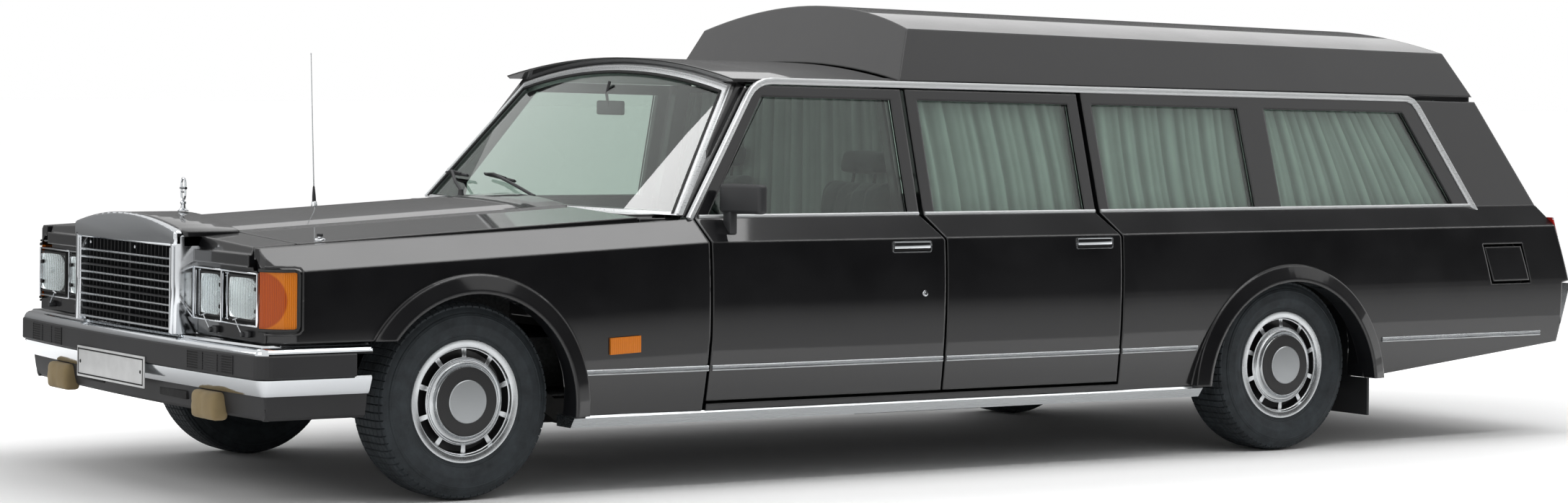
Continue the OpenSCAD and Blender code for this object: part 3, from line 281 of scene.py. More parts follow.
# %% Rubber, plastic and wax
tyre_rubber, tree, shader, place = new_finish(
    "vulcanised_rubber", Base_Color=linear("#1d1f21"), Roughness=0.72, Specular_IOR_Level=0.35)
bloom = add(tree, "ShaderNodeTexNoise", {"Vector": place, "Scale": 14.0, "Detail": 7.0, "Roughness": 0.65})
greyed = add(tree, "ShaderNodeValToRGB", {"Fac": bloom.outputs["Fac"]})
greyed.color_ramp.elements[0].position = 0.3
greyed.color_ramp.elements[0].color = linear("#1c2023")
greyed.color_ramp.elements[1].position = 0.75
greyed.color_ramp.elements[1].color = linear("#363c40")
tree.links.new(greyed.outputs[0], shader.inputs["Base Color"])
moulded = add(tree, "ShaderNodeTexNoise", {"Vector": place, "Scale": 1 / 0.003, "Detail": 2.0})
matte = add(tree, "ShaderNodeBump", {"Height": moulded.outputs["Fac"], "Strength": 0.25, "Distance": 0.0005})
tree.links.new(matte.outputs[0], shader.inputs["Normal"])

grained_plastic, tree, shader, place = new_finish(
    "grained_plastic", Base_Color=linear("#1c1d1f"), Roughness=0.52)
# grain drawn at 3.5 mm so it shows
cells = add(tree, "ShaderNodeTexVoronoi", {"Vector": place, "Scale": 1 / 0.0035})
leather = add(
    tree, "ShaderNodeBump", {"Height": cells.outputs["Distance"], "Strength": 0.22, "Distance": 0.0006}
)
tree.links.new(leather.outputs[0], shader.inputs["Normal"])
faded = add(tree, "ShaderNodeTexNoise", {"Vector": place, "Scale": 5.0, "Detail": 5.0})
sunned = add(tree, "ShaderNodeValToRGB", {"Fac": faded.outputs["Fac"]})
sunned.color_ramp.elements[0].color = linear("#17181a")
sunned.color_ramp.elements[1].color = linear("#2a2b2d")
tree.links.new(sunned.outputs[0], shader.inputs["Base Color"])

underbody_wax, tree, shader, place = new_finish(
    "underbody_wax", Base_Color=linear("#121212"), Roughness=0.8)
lumps = add(tree, "ShaderNodeTexNoise", {"Vector": place, "Scale": 1 / 0.03, "Detail": 6.0})
lumpy = add(tree, "ShaderNodeBump", {"Height": lumps.outputs["Fac"], "Strength": 0.5, "Distance": 0.002})
tree.links.new(lumpy.outputs[0], shader.inputs["Normal"])
road_dust = add(tree, "ShaderNodeValToRGB", {"Fac": lumps.outputs["Fac"]})
road_dust.color_ramp.elements[0].color = linear("#0c0c0c")
road_dust.color_ramp.elements[1].color = linear("#262522")
tree.links.new(road_dust.outputs[0], shader.inputs["Base Color"])
print("finishes:", tyre_rubber.name, grained_plastic.name, underbody_wax.name)

# %% [markdown]
# ## Cloth
# The seats are covered in a ribbed wool cloth, the curtains are a thin grey-green voile and the fog
# lamps wear canvas covers. A weave is two sets of waves at right angles. Real threads are well under
# a millimetre, too fine to show from here, so they are drawn several times as coarse. A curtain's
# mesh says how deep each point is in a fold, and its colour is darkened in the valleys: painted shade.

# %% Cloth
cloths = {}
for cloth_name, dark, light, thread, sheen in (
        ("ribbed_wool_cloth", "#33383a", "#565d5d", 0.003, 0.4),
        ("curtain_voile", "#bcc7c2", "#dce4e0", 0.002, 0.2),
        ("waxed_canvas", "#6f5f41", "#a3906a", 0.005, 0.1)):
    cloth, tree, shader, place = new_finish(
        cloth_name, Base_Color=linear(light), Roughness=0.9, Sheen_Weight=sheen, Sheen_Roughness=0.5)
    warp = add(
        tree, "ShaderNodeTexWave",
        {"Vector": place, "Scale": 1 / thread / 2, "Distortion": 1.2, "Detail": 1.0}, wave_type="BANDS",
        bands_direction="X"
    )
    weft = add(
        tree, "ShaderNodeTexWave",
        {"Vector": place, "Scale": 1 / thread / 2, "Distortion": 1.2, "Detail": 1.0}, wave_type="BANDS",
        bands_direction="Z"
    )
    woven = add(
        tree, "ShaderNodeMath", {0: warp.outputs["Fac"], 1: weft.outputs["Fac"]}, operation="MULTIPLY"
    )
    weave = add(tree, "ShaderNodeBump", {"Height": woven.outputs[0], "Strength": 0.10, "Distance": 0.0004})
    tree.links.new(weave.outputs[0], shader.inputs["Normal"])
    wear = add(tree, "ShaderNodeTexNoise", {"Vector": place, "Scale": 8.0, "Detail": 6.0})
    dyed = add(tree, "ShaderNodeValToRGB", {"Fac": wear.outputs["Fac"]})
    dyed.color_ramp.elements[0].color = linear(dark)
    dyed.color_ramp.elements[1].color = linear(light)
    # painted shade: where the mesh marks a fold's valley, the colour is darkened down to 0.42
    valley = add(tree, "ShaderNodeAttribute", attribute_name="valley")
    lit = add(tree, "ShaderNodeMapRange", {"Value": valley.outputs["Fac"], "To Min": 1.0, "To Max": 0.42})
    fold_shaded = add(
        tree, "ShaderNodeVectorMath", {0: dyed.outputs[0], "Scale": lit.outputs[0]}, operation="SCALE"
    )
    tree.links.new(fold_shaded.outputs[0], shader.inputs["Base Color"])
    cloths[cloth_name] = cloth
print("finishes:", *cloths)

# %% [markdown]
# ## Finishes on the solids
# Most panels are already the right shape, so they only get their finish. The record names a slot for
# each solid, and the table gives each slot its material.

# %% Finishes on the solids
slot_finish = {
    "body_paint": black_enamel, "underbody": underbody_wax, "bare_steel": forged_steel,
    "chrome": chrome_plate, "wheel_chrome": chrome_plate, "glass": tinted_glass,
    "lamp_glass": pressed_glass, "amber_lens": ribbed_lenses["amber_acrylic"],
    "red_lens": ribbed_lenses["red_acrylic"], "dark_trim": grained_plastic,
    "fog_cover": cloths["waxed_canvas"], "seat_cloth": cloths["ribbed_wool_cloth"],
    "curtain_cloth": cloths["curtain_voile"], "tyre": tyre_rubber
}
for row in frame["record"]["subparts"]:
    solid = frame["nodes"][row["node"]]
    solid.data.materials.clear()
    solid.data.materials.append(slot_finish[row["material_slot"]])
frame["nodes"]["windscreen_surround"].data.materials[0] = satin_aluminium
frame["nodes"]["sill_trims"].data.materials[0] = brushed_steel
print("finishes on", len(frame["nodes"]), "solids")

# %% [markdown]
# ## Tools for shapes
# A car's fittings are of a few kinds: strips rolled to one section and bent along the body, parts
# turned on a lathe, and plates cut from sheet. Each kind gets one small tool here. A strip is a
# section that is extruded from place to place along a path, a turned part is a profile spun round
# an axis, and a plate is an outline with a depth and rounded edges. The last tool makes the mesh an
# object, gives it its finish and hangs it on the body of the car that carries it.

# %% Tools for shapes
def along_path(points, up=(0.0, 0.0, 1.0)):
    """A place at each point of a path: x runs along the path, y to its left, z up."""
    points = [Vector(p) for p in points]
    places = []
    for i, point in enumerate(points):
        ahead = (points[min(i + 1, len(points) - 1)] - points[max(i - 1, 0)]).normalized()
        left = Vector(up).cross(ahead).normalized()
        spot = Matrix((ahead, left, ahead.cross(left))).transposed().to_4x4()
        spot.translation = point
        places.append(spot)
    return places


def strip(bm, section, places):
    """Extrudes a section of (y, z) corners from place to place."""
    face = bm.faces.new([bm.verts.new(places[0] @ Vector((0.0, y, z))) for y, z in section])
    for last, spot in zip(places, places[1:]):
        grown = bmesh.ops.extrude_face_region(bm, geom=[face])["geom"]
        face = next(part for part in grown if isinstance(part, bmesh.types.BMFace))
        bmesh.ops.transform(bm, matrix=spot @ last.inverted(), verts=face.verts)


def rod(bm, points, radius, sides=10):
    ring = [
        (radius * math.cos(math.tau * i / sides), radius * math.sin(math.tau * i / sides))
        for i in range(sides)
    ]
    rise, reach = abs(points[0][2] - points[-1][2]), math.dist(points[0], points[-1])
    strip(bm, ring, along_path(points, (0.0, 0.0, 1.0) if rise < 0.6 * reach else (1.0, 0.0, 0.0)))


def turned(bm, profile, spot, steps=48):
    """Spins a profile of (radius, height) points once round the x axis of a place."""
    verts = [bm.verts.new(spot @ Vector((height, radius, 0.0))) for radius, height in profile]
    edges = [bm.edges.new(pair) for pair in zip(verts, verts[1:])]
    made = bmesh.ops.spin(
        bm, geom=verts + edges, cent=spot.translation, axis=spot.col[0].to_3d(), angle=math.tau,
        steps=steps, use_merge=True
    )
    return made


def plate(bm, corners, depth, rounding=0.0, segments=2):
    """A plate with this outline, grown by a depth, with its edges rounded."""
    face = bm.faces.new([bm.verts.new(c) for c in corners])
    grown = bmesh.ops.extrude_face_region(bm, geom=[face])["geom"]
    far_side = [part for part in grown if isinstance(part, bmesh.types.BMVert)]
    bmesh.ops.translate(bm, vec=depth, verts=far_side)
    if rounding:
        edges = {edge for vert in list(face.verts) + far_side for edge in vert.link_edges}
        bmesh.ops.bevel(
            bm, geom=list(edges), offset=rounding, offset_type="OFFSET", segments=segments, profile=0.5,
            affect="EDGES", material=-1, clamp_overlap=True
        )


def block(bm, low, high, rounding=0.0, segments=2):
    (x0, y0, z0), (x1, y1, z1) = low, high
    plate(
        bm, [(x0, y0, z0), (x1, y0, z0), (x1, y1, z0), (x0, y1, z0)], (0.0, 0.0, z1 - z0), rounding,
        segments
    )


def both_sides(bm):
    """Repeats what is in the mesh on the other side of the car."""
    copy = bmesh.ops.duplicate(bm, geom=bm.verts[:] + bm.edges[:] + bm.faces[:])["geom"]
    bmesh.ops.scale(
        bm, vec=(1.0, -1.0, 1.0), verts=[part for part in copy if isinstance(part, bmesh.types.BMVert)]
    )


def piece(name, bm, body, *finishes, stands_for=(), slot=None, sharp=32.0):
    bmesh.ops.remove_doubles(bm, verts=bm.verts, dist=1e-5)
    bmesh.ops.recalc_face_normals(bm, faces=bm.faces)
    mesh = bpy.data.meshes.new(name)
    for face in bm.faces:
        face.smooth = True
    bm.to_mesh(mesh)
    bm.free()
    mesh.set_sharp_from_angle(angle=math.radians(sharp))
    for finish in finishes:
        mesh.materials.append(finish)
    obj = bpy.data.objects.new(name, mesh)
    bpy.context.scene.collection.objects.link(obj)
    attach(obj, body)
    if stands_for:
        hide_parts(*stands_for)
    return obj


SIDES = (("left", 1), ("right", -1))
print("tools ready")

# %% [markdown]
# ## Tyres
# A radial tyre is a ring with one section all round, so its profile is spun about the axle. The
# tread is cut into rows of blocks. Here the bare ring lies a little under the tread's height, each
# quad of the tread is inset to leave a groove round it, and the inset quad is raised, so that the
# blocks and the grooves come from one operation. Raised rings on the sidewall stand for the maker's
# moulding, with no lettering.

# %% Tyres
def axle_spot(node, side):
    low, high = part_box(node)
    cx, cy, cz = (Vector(low) + Vector(high)) / 2
    return Matrix(((0, 0, side, cx), (side, 0, 0, cy), (0, 1, 0, cz), (0, 0, 0, 1)))


tread_rows = [(0.3315, 0.1005), (0.3390, 0.0890), (0.3445, 0.0690), (0.3452, 0.0420), (0.3455, 0.0140)]
sidewall = [
    (0.1910, 0.0890), (0.2000, 0.0935), (0.2150, 0.0940), (0.2180, 0.0985), (0.2290, 0.1010),
    (0.2310, 0.1035), (0.2340, 0.1035), (0.2360, 0.1060), (0.2500, 0.1110), (0.2680, 0.1150),
    (0.2720, 0.1165), (0.2750, 0.1160), (0.2900, 0.1172), (0.3010, 0.1160), (0.3030, 0.1172),
    (0.3060, 0.1155), (0.3120, 0.1130), (0.3140, 0.1095), (0.3180, 0.1085), (0.3230, 0.1060)
]
tyre_profile = (
    sidewall + tread_rows + [(r, -h) for r, h in reversed(tread_rows)]
    + [(r, -h) for r, h in reversed(sidewall)]
)
for end in ("front", "rear"):
    for side_name, side in SIDES:
        node = f"tyre_{end}_{side_name}"
        spot = axle_spot(node, side)
        bm = bmesh.new()
        turned(bm, tyre_profile, spot, steps=76)
        bmesh.ops.remove_doubles(bm, verts=bm.verts, dist=1e-5)
        bmesh.ops.recalc_face_normals(bm, faces=bm.faces)
        to_wheel = spot.inverted()
        middles = [(face, to_wheel @ face.calc_center_median()) for face in bm.faces]
        tread = [face for face, m in middles if math.hypot(m.y, m.z) > 0.331]
        bmesh.ops.inset_individual(bm, faces=tread, thickness=0.0032, depth=0.0062, use_even_offset=True)
        tyre = piece(
            f"tyre.{end}.{side_name}", bm, f"wheel_{end}_{side_name}", tyre_rubber, stands_for=(node,),
            slot="tyre"
        )
print("tyres:", len(tyre.data.polygons), "faces each")

# %% [markdown]
# ## Wheel covers
# Each wheel has a pressed cover of bright metal over a black steel wheel: a broad flat ring at the
# rim, a band with ten windows, a deep dish and a black cap with a plain silver disc. The cover is a
# spun profile. The windows are faces taken out of the band before the sheet gets its thickness, so
# their edges show the metal's gauge and the dark wheel shows behind.

# %% Wheel covers
hub_enamel, tree, shader, place = new_finish(
    "black_hub_plastic", Base_Color=linear("#1b1b1c"), Roughness=0.45
)
scuffs = add(tree, "ShaderNodeTexNoise", {"Vector": place, "Scale": 60.0, "Detail": 5.0})
scuffed = add(tree, "ShaderNodeMapRange", {"Value": scuffs.outputs["Fac"], "To Min": 0.36, "To Max": 0.56})
tree.links.new(scuffed.outputs[0], shader.inputs["Roughness"])
wheel_silver, tree, shader, place = new_finish(
    "polished_wheel_steel", Base_Color=linear("#c4c7c9"), Metallic=0.9, Roughness=0.24
)
buffed = add(tree, "ShaderNodeTexNoise", {"Vector": place, "Scale": 16.0, "Detail": 5.0})
buffing = add(
    tree, "ShaderNodeMapRange",
    {"Value": buffed.outputs["Fac"], "From Min": 0.3, "From Max": 0.7, "To Min": 0.18, "To Max": 0.30}
)
tree.links.new(buffing.outputs[0], shader.inputs["Roughness"])
satin_disc, tree, shader, place = new_finish(
    "satin_aluminium", Base_Color=linear("#a9acae"), Metallic=1.0, Roughness=0.35
)
lathe_marks = add(tree, "ShaderNodeTexNoise", {"Vector": place, "Scale": 160.0, "Detail": 3.0})
turned_grain = add(
    tree, "ShaderNodeMapRange", {"Value": lathe_marks.outputs["Fac"], "To Min": 0.28, "To Max": 0.42}
)
tree.links.new(turned_grain.outputs[0], shader.inputs["Roughness"])

cover_profile = [
    (0.2185, 0.0950), (0.2195, 0.1000), (0.2175, 0.1030), (0.1960, 0.1035), (0.1925, 0.1015),
    (0.1905, 0.0930), (0.1880, 0.0900), (0.1860, 0.0895), (0.1560, 0.0925), (0.1540, 0.0935),
    (0.1515, 0.0985), (0.1485, 0.0995), (0.1465, 0.0960), (0.1440, 0.0945), (0.1400, 0.0950),
    (0.1340, 0.0985), (0.1290, 0.1060), (0.1265, 0.1140), (0.1240, 0.1165), (0.1215, 0.1150)
]
cap_profile = [(0.1225, 0.1050), (0.1222, 0.1160), (0.1190, 0.1190), (0.0780, 0.1210), (0.0765, 0.1195)]
disc_profile = [(0.0772, 0.1190), (0.0770, 0.1225), (0.0745, 0.1245), (0.0500, 0.1252), (0.0005, 0.1255)]
drum_profile = [
    (0.0300, 0.0300), (0.1000, 0.0400), (0.1600, 0.0520), (0.1800, 0.0540), (0.1890, 0.0700),
    (0.1895, 0.0920), (0.1900, 0.0900), (0.1905, -0.0900), (0.1780, -0.0880), (0.1760, 0.0100),
    (0.0300, 0.0220)
]
for end in ("front", "rear"):
    for side_name, side in SIDES:
        wheel = f"wheel_{end}_{side_name}"
        spot = axle_spot(f"rim_{end}_{side_name}", side)
        spot.translation = axle_spot(f"tyre_{end}_{side_name}", side).translation
        to_wheel = spot.inverted()
        bm = bmesh.new()
        turned(bm, cover_profile, spot, steps=120)
        bmesh.ops.remove_doubles(bm, verts=bm.verts, dist=1e-5)
        windows = []
        for face in bm.faces:
            m = to_wheel @ face.calc_center_median()
            turn = math.degrees(math.atan2(m.z, m.y)) % 36.0
            if 0.157 < math.hypot(m.y, m.z) < 0.1855 and 3.2 < turn < 32.8:
                windows.append(face)
        bmesh.ops.delete(bm, geom=windows, context="FACES")
        bmesh.ops.recalc_face_normals(bm, faces=bm.faces)
        bmesh.ops.solidify(bm, geom=bm.faces[:], thickness=0.0025)
        cover = piece(
            f"wheel_cover.{end}.{side_name}", bm, wheel, wheel_silver,
            stands_for=(f"rim_{end}_{side_name}",), slot="wheel_chrome", sharp=40.0
        )
        bm = bmesh.new()
        turned(bm, drum_profile, spot, steps=60)
        turned(bm, cap_profile, spot, steps=60)
        piece(f"wheel_and_cap.{end}.{side_name}", bm, wheel, hub_enamel, slot="dark_trim", sharp=40.0)
        bm = bmesh.new()
        turned(bm, disc_profile, spot, steps=60)
        piece(f"hub_disc.{end}.{side_name}", bm, wheel, satin_disc, slot="wheel_chrome")
print("wheel covers:", len(cover.data.polygons), "faces each")

# %% [markdown]
# ## Front bumper
# The bumper is a rolled steel channel: a bright ledge on top, a dark moulded band in the middle and
# a bright face below that leans back to the apron. All four follow the same bend round the front, so
# one path is drawn, from the left wheel arch round the nose to the right one, and four sections are
# extruded along it.

# %% Front bumper
front_x = cad_high.x
bumper_half = 1.036
bend = 0.055


def bumper_path(back_x=2.722, step=0.075):
    """The bumper's outer line on the ground plan, from the left wheel arch to the right one."""
    bow = lambda y: front_x - 0.010 - y * y / 21.6
    corner_x = bow(bumper_half - bend) - bend
    left_side = [(back_x + (corner_x - back_x) * i / 6, bumper_half) for i in range(6)]
    corner = [(corner_x + bend * math.sin(a), bumper_half - bend + bend * math.cos(a))
              for a in [math.radians(15 * i) for i in range(6)]]
    front = [(bow(y), y) for y in [(bumper_half - bend) * (1 - i / 13) for i in range(14)]]
    half = left_side + corner + front
    return [(x, y, 0.0) for x, y in half] + [(x, -y, 0.0) for x, y in reversed(half[:-1])]


bumper_places = along_path(bumper_path())
ledge_section = [
    (-0.100, 0.572), (-0.088, 0.578), (-0.040, 0.578), (-0.034, 0.571), (-0.022, 0.569), (-0.012, 0.562),
    (-0.006, 0.551), (-0.006, 0.545), (-0.100, 0.545)
]
face_section = [
    (-0.014, 0.468), (-0.010, 0.461), (-0.013, 0.450), (-0.028, 0.414), (-0.036, 0.404), (-0.060, 0.403),
    (-0.060, 0.468)
]
band_section = [
    (-0.040, 0.546), (-0.004, 0.546), (0.000, 0.541), (0.000, 0.471), (-0.004, 0.466), (-0.040, 0.466)
]
apron_section = [
    (-0.046, 0.404), (-0.052, 0.360), (-0.060, 0.328), (-0.072, 0.318), (-0.082, 0.320), (-0.082, 0.404)
]
bm = bmesh.new()
strip(bm, ledge_section, bumper_places)
strip(bm, face_section, bumper_places)
bright_bumper = piece("bumper_bright", bm, "body", chrome_plate, stands_for=("front_bumper",), slot="chrome")

bumper_rubber, tree, shader, place = new_finish(
    "moulded_bumper_rubber", Base_Color=linear("#1f1f20"), Roughness=0.55, Specular_IOR_Level=0.4)
weathered = add(tree, "ShaderNodeTexNoise", {"Vector": place, "Scale": 7.0, "Detail": 6.0})
chalk = add(tree, "ShaderNodeValToRGB", {"Fac": weathered.outputs["Fac"]})
chalk.color_ramp.elements[0].color = linear("#181819")
chalk.color_ramp.elements[1].color = linear("#262628")
tree.links.new(chalk.outputs[0], shader.inputs["Base Color"])
grit = add(tree, "ShaderNodeTexNoise", {"Vector": place, "Scale": 1 / 0.004, "Detail": 2.0})
gritty = add(tree, "ShaderNodeBump", {"Height": grit.outputs["Fac"], "Strength": 0.15, "Distance": 0.0005})
tree.links.new(gritty.outputs[0], shader.inputs["Normal"])
bm = bmesh.new()
strip(bm, band_section, bumper_places[1:-1])
strip(bm, apron_section, bumper_places)
band = piece(
    "bumper_band_and_apron", bm, "body", bumper_rubber, stands_for=("bumper_cladding",), slot="dark_trim"
)
print(
    "bumper:", len(bumper_places), "places,", len(bright_bumper.data.polygons) + len(band.data.polygons),
    "faces"
)

# %% [markdown]
# ## Air slots, covers and number plate
# Behind the band, before each lamp, air goes in through a grating of seven slots, backed by a black
# plate that is a painted shadow for the opening. Under the bumper two fog lamps wear tan canvas
# covers, and an oblong slot in the apron is a black block, a painted shadow. The number plate is
# a pressed plate with a black rim. It stays blank.

# %% Air slots and plate
shadow_black, tree, shader, place = new_finish("shadow_black", Base_Color=linear("#050505"), Roughness=0.8)
soot = add(tree, "ShaderNodeTexNoise", {"Vector": place, "Scale": 40.0, "Detail": 3.0})
sooted = add(tree, "ShaderNodeMapRange", {"Value": soot.outputs["Fac"], "To Min": 0.7, "To Max": 0.9})
tree.links.new(sooted.outputs[0], shader.inputs["Roughness"])


def bumper_x(y, inset=0.0):
    return front_x - 0.010 - y * y / 21.6 - inset


slot_in, slot_out = 0.545, 0.862     # ends of the air slot, from the middle of the car
slot_low, slot_high = 0.472, 0.536
slot_corners = ((slot_in, slot_low), (slot_out, slot_low), (slot_out, slot_high), (slot_in, slot_high))
# painted shadow: a black plate behind the bars stands for the dark opening of the slots
bm = bmesh.new()
plate(bm, [(bumper_x(y) + 0.0008, y, z) for y, z in slot_corners], (-0.006, 0, 0))
both_sides(bm)
piece("air_slot_gratings.dark", bm, "body", shadow_black, slot="dark_trim")
bm = bmesh.new()
for i in range(8):
    z = slot_low + 0.0005 + 0.0088 * i
    bar = ((slot_in, -0.001), (slot_out, -0.001), (slot_out, 0.003), (slot_in, 0.003))
    plate(bm, [(bumper_x(y) + out, y, z) for y, out in bar], (0, 0, 0.0022))
for y in (slot_in, 0.652, 0.755, slot_out - 0.002):
    block(
        bm, (bumper_x(y) - 0.001, y, slot_low + 0.0005),
        (bumper_x(y) + 0.0025, y + 0.003, slot_high + 0.0005)
    )
both_sides(bm)
piece("air_slot_gratings", bm, "body", bumper_rubber, slot="dark_trim")
# painted shadow: the apron's slot is a black block, not an opening
bm = bmesh.new()
block(bm, (bumper_x(0.33, 0.062), 0.24, 0.352), (bumper_x(0.33, 0.0465), 0.46, 0.382), 0.004)
both_sides(bm)
piece("apron_slots", bm, "body", shadow_black, slot="dark_trim")

plate_enamel, tree, shader, place = new_finish("plate_enamel", Base_Color=linear("#d4d5d5"), Roughness=0.35)
grime = add(tree, "ShaderNodeTexNoise", {"Vector": place, "Scale": 18.0, "Detail": 6.0})
grimy = add(tree, "ShaderNodeValToRGB", {"Fac": grime.outputs["Fac"]})
grimy.color_ramp.elements[0].color = linear("#c2c3c3")
grimy.color_ramp.elements[1].color = linear("#dedfdf")
tree.links.new(grimy.outputs[0], shader.inputs["Base Color"])


def number_plate(name, body, low, high, facing):
    """A pressed blank plate across the car, with a raised black rim and two bolts."""
    (y0, z0), (y1, z1) = low, high
    bm = bmesh.new()
    block(bm, (min(facing), y0, z0), (max(facing), y1, z1), 0.0012)
    piece(name, bm, body, plate_enamel)
    front = facing[1]
    out = 0.0010 if facing[1] > facing[0] else -0.0010
    bm = bmesh.new()
    for a, b in (
        ((y0 + 0.008, z0 + 0.008), (y1 - 0.008, z0 + 0.013)),
        ((y0 + 0.008, z1 - 0.013), (y1 - 0.008, z1 - 0.008)),
        ((y0 + 0.008, z0 + 0.008), (y0 + 0.013, z1 - 0.008)),
        ((y1 - 0.013, z0 + 0.008), (y1 - 0.008, z1 - 0.008))
    ):
        block(bm, (min(front, front + out), a[0], a[1]), (max(front, front + out), b[0], b[1]))
    for y in (y0 + 0.03, y1 - 0.03):
        spot = Matrix.Translation((front, y, (z0 + z1) / 2)) @ Matrix.Diagonal(
            (math.copysign(1.0, out), 1.0, 1.0, 1.0)
        )
        turned(bm, [(0.007, 0.0), (0.006, 0.0012), (0.0005, 0.0016)], spot, steps=12)
    piece(name + ".rim", bm, body, shadow_black)


number_plate("number_plate.front", "body", (-0.360, 0.373), (0.226, 0.486), (3.2085, 3.2140))

for side_name, side in SIDES:
    bm = bmesh.new()
    block(bm, (3.118, 0.540, 0.300), (3.178, 0.720, 0.398), 0.016, 3)
    bmesh.ops.subdivide_edges(
        bm, edges=[e for e in bm.edges if e.calc_length() > 0.04], cuts=7, use_grid_fill=True
    )
    for vert in bm.verts:
        y, z = vert.co.y - 0.63, vert.co.z - 0.349
        if vert.co.x > 3.15:
            vert.co.x += (
                0.010 * math.cos(y * 14.5) * math.cos(z * 28)
                + 0.0012 * math.sin(y * 190 + 3 * math.sin(z * 60))
            )
            vert.co.x -= 0.004 * math.exp(-(y / 0.004) ** 2)          # the seam down the middle
    bmesh.ops.scale(bm, vec=(1.0, side, 1.0), verts=bm.verts)
    cover = piece(f"fog_lamp_cover.{side_name}", bm, "body", cloths["waxed_canvas"], slot="fog_cover",
                  stands_for=("fog_lamps",) if side > 0 else (), sharp=60.0)
print("gratings, plate and covers made")

# %% [markdown]
# ## Radiator shell and bars
# The shell is folded from plate: a broad brow, arched on top, and two cheeks. Behind the brow its top
# is painted black. Its bars are bright strips in pairs, with a dark one between each pair and the next,
# in front of a black core with upright fins. Each part is a plate with rounded edges, because a fold in
# sheet is never sharp.

# %% Radiator shell and bars
shell_face, shell_back, shell_half, cheek = 3.198, 2.944, 0.435, 0.040
brow_z, shell_foot = 0.888, 0.5795
arch = [(shell_half * (1 - i / 9), 0.945 + 0.050 * (1 - (1 - i / 9) ** 2)) for i in range(19)]
bm = bmesh.new()
brow = [(-shell_half, brow_z), (shell_half, brow_z)] + arch
plate(bm, [(shell_face, y, z) for y, z in brow], (-0.034, 0, 0), 0.011, 3)
block(bm, (shell_back, shell_half - cheek, shell_foot), (shell_face - 0.006, shell_half, 0.930), 0.006)
block(
    bm, (shell_face - 0.03, shell_half - cheek + 0.004, shell_foot),
    (shell_face, shell_half - 0.018, brow_z + 0.02), 0.005
)
block(bm, (shell_back, -shell_half, shell_foot), (shell_face - 0.006, cheek - shell_half, 0.930), 0.006)
block(
    bm, (shell_face - 0.03, 0.018 - shell_half, shell_foot),
    (shell_face, cheek - shell_half - 0.004, brow_z + 0.02), 0.005
)
piece("radiator_shell", bm, "body", chrome_plate, stands_for=("grille",), slot="chrome", sharp=25.0)
bm = bmesh.new()
plate(
    bm, [(shell_face - 0.035, y, z - 0.001) for y, z in brow], (shell_back - shell_face + 0.035, 0, 0),
    0.004
)
piece("radiator_shell.top", bm, "body", black_enamel, slot="body_paint", sharp=25.0)

bar_half = shell_half - cheek
bar_section = [(-0.010, -0.0035), (0.006, -0.0035), (0.010, 0.0), (0.006, 0.0035), (-0.010, 0.0035)]
bright, dark = bmesh.new(), bmesh.new()
for i in range(10):
    mesh = dark if i % 3 == 2 else bright
    x = shell_face - (0.026 if i % 3 == 2 else 0.018)
    strip(
        mesh, bar_section,
        along_path([(x, bar_half, 0.843 - 0.0275 * i), (x, -bar_half, 0.843 - 0.0275 * i)])
    )
for y in (bar_half + 0.001, -bar_half - 0.001):
    rod(bright, [(shell_face - 0.003, y, z) for z in (shell_foot + 0.004, brow_z - 0.004)], 0.003, 8)
for y in (-0.36, 0.03):
    turned(bright, [(0.006, 0.0), (0.006, 0.004), (0.003, 0.006), (0.0005, 0.0062)],
           Matrix.Translation((shell_face - 0.038, y, 0.869)), steps=12)
piece("grille_bars.bright", bright, "body", brushed_steel, slot="chrome")
for i in range(-12, 13):
    y = bar_half * i / 12.5
    block(dark, (shell_face - 0.062, y - 0.0018, shell_foot), (shell_face - 0.040, y + 0.0018, brow_z))
block(dark, (shell_face - 0.040, -0.004, shell_foot), (shell_face - 0.030, 0.004, brow_z))
piece("grille_bars.dark", dark, "body", grained_plastic, slot="dark_trim")
bm = bmesh.new()
block(bm, (shell_face - 0.075, -bar_half, shell_foot), (shell_face - 0.066, bar_half, brow_z), 0.002)
piece("radiator_core", bm, "body", shadow_black, slot="dark_trim")
print("radiator shell and 10 bars made")

# %% [markdown]
# ## Headlamps
# Each side has two oblong lamps in one bright wire frame. A lamp is a bright bowl behind a domed
# lens of pressed glass, and the bowl does most of the work: it mirrors the studio. Below each lamp
# a small motor carries a wiper arm of wire.

# %% Headlamps
lamp_x = 3.1035
reflector, tree, shader, place = new_finish(
    "aluminised_reflector", Base_Color=linear("#dfe2e3"), Metallic=1.0, Roughness=0.16
)
rings = add(tree, "ShaderNodeTexNoise", {"Vector": place, "Scale": 45.0, "Detail": 4.0})
dimples = add(tree, "ShaderNodeBump", {"Height": rings.outputs["Fac"], "Strength": 0.10, "Distance": 0.003})
tree.links.new(dimples.outputs[0], shader.inputs["Normal"])


def oblong_grid(bm, y0, y1, z0, z1, x_at, corner=0.24):
    """A rounded oblong sheet; x_at gives its depth from the place on it, -1 to 1 both ways."""
    grid = bmesh.ops.create_grid(bm, x_segments=16, y_segments=14, size=1.0)["verts"]
    for vert in grid:
        u, v = vert.co.x, vert.co.y
        tuck = 1.0 - corner * u * u * v * v
        vert.co = (
            x_at(u, v), (y0 + y1) / 2 + (y1 - y0) / 2 * u * tuck, (z0 + z1) / 2 + (z1 - z0) / 2 * v * tuck
        )


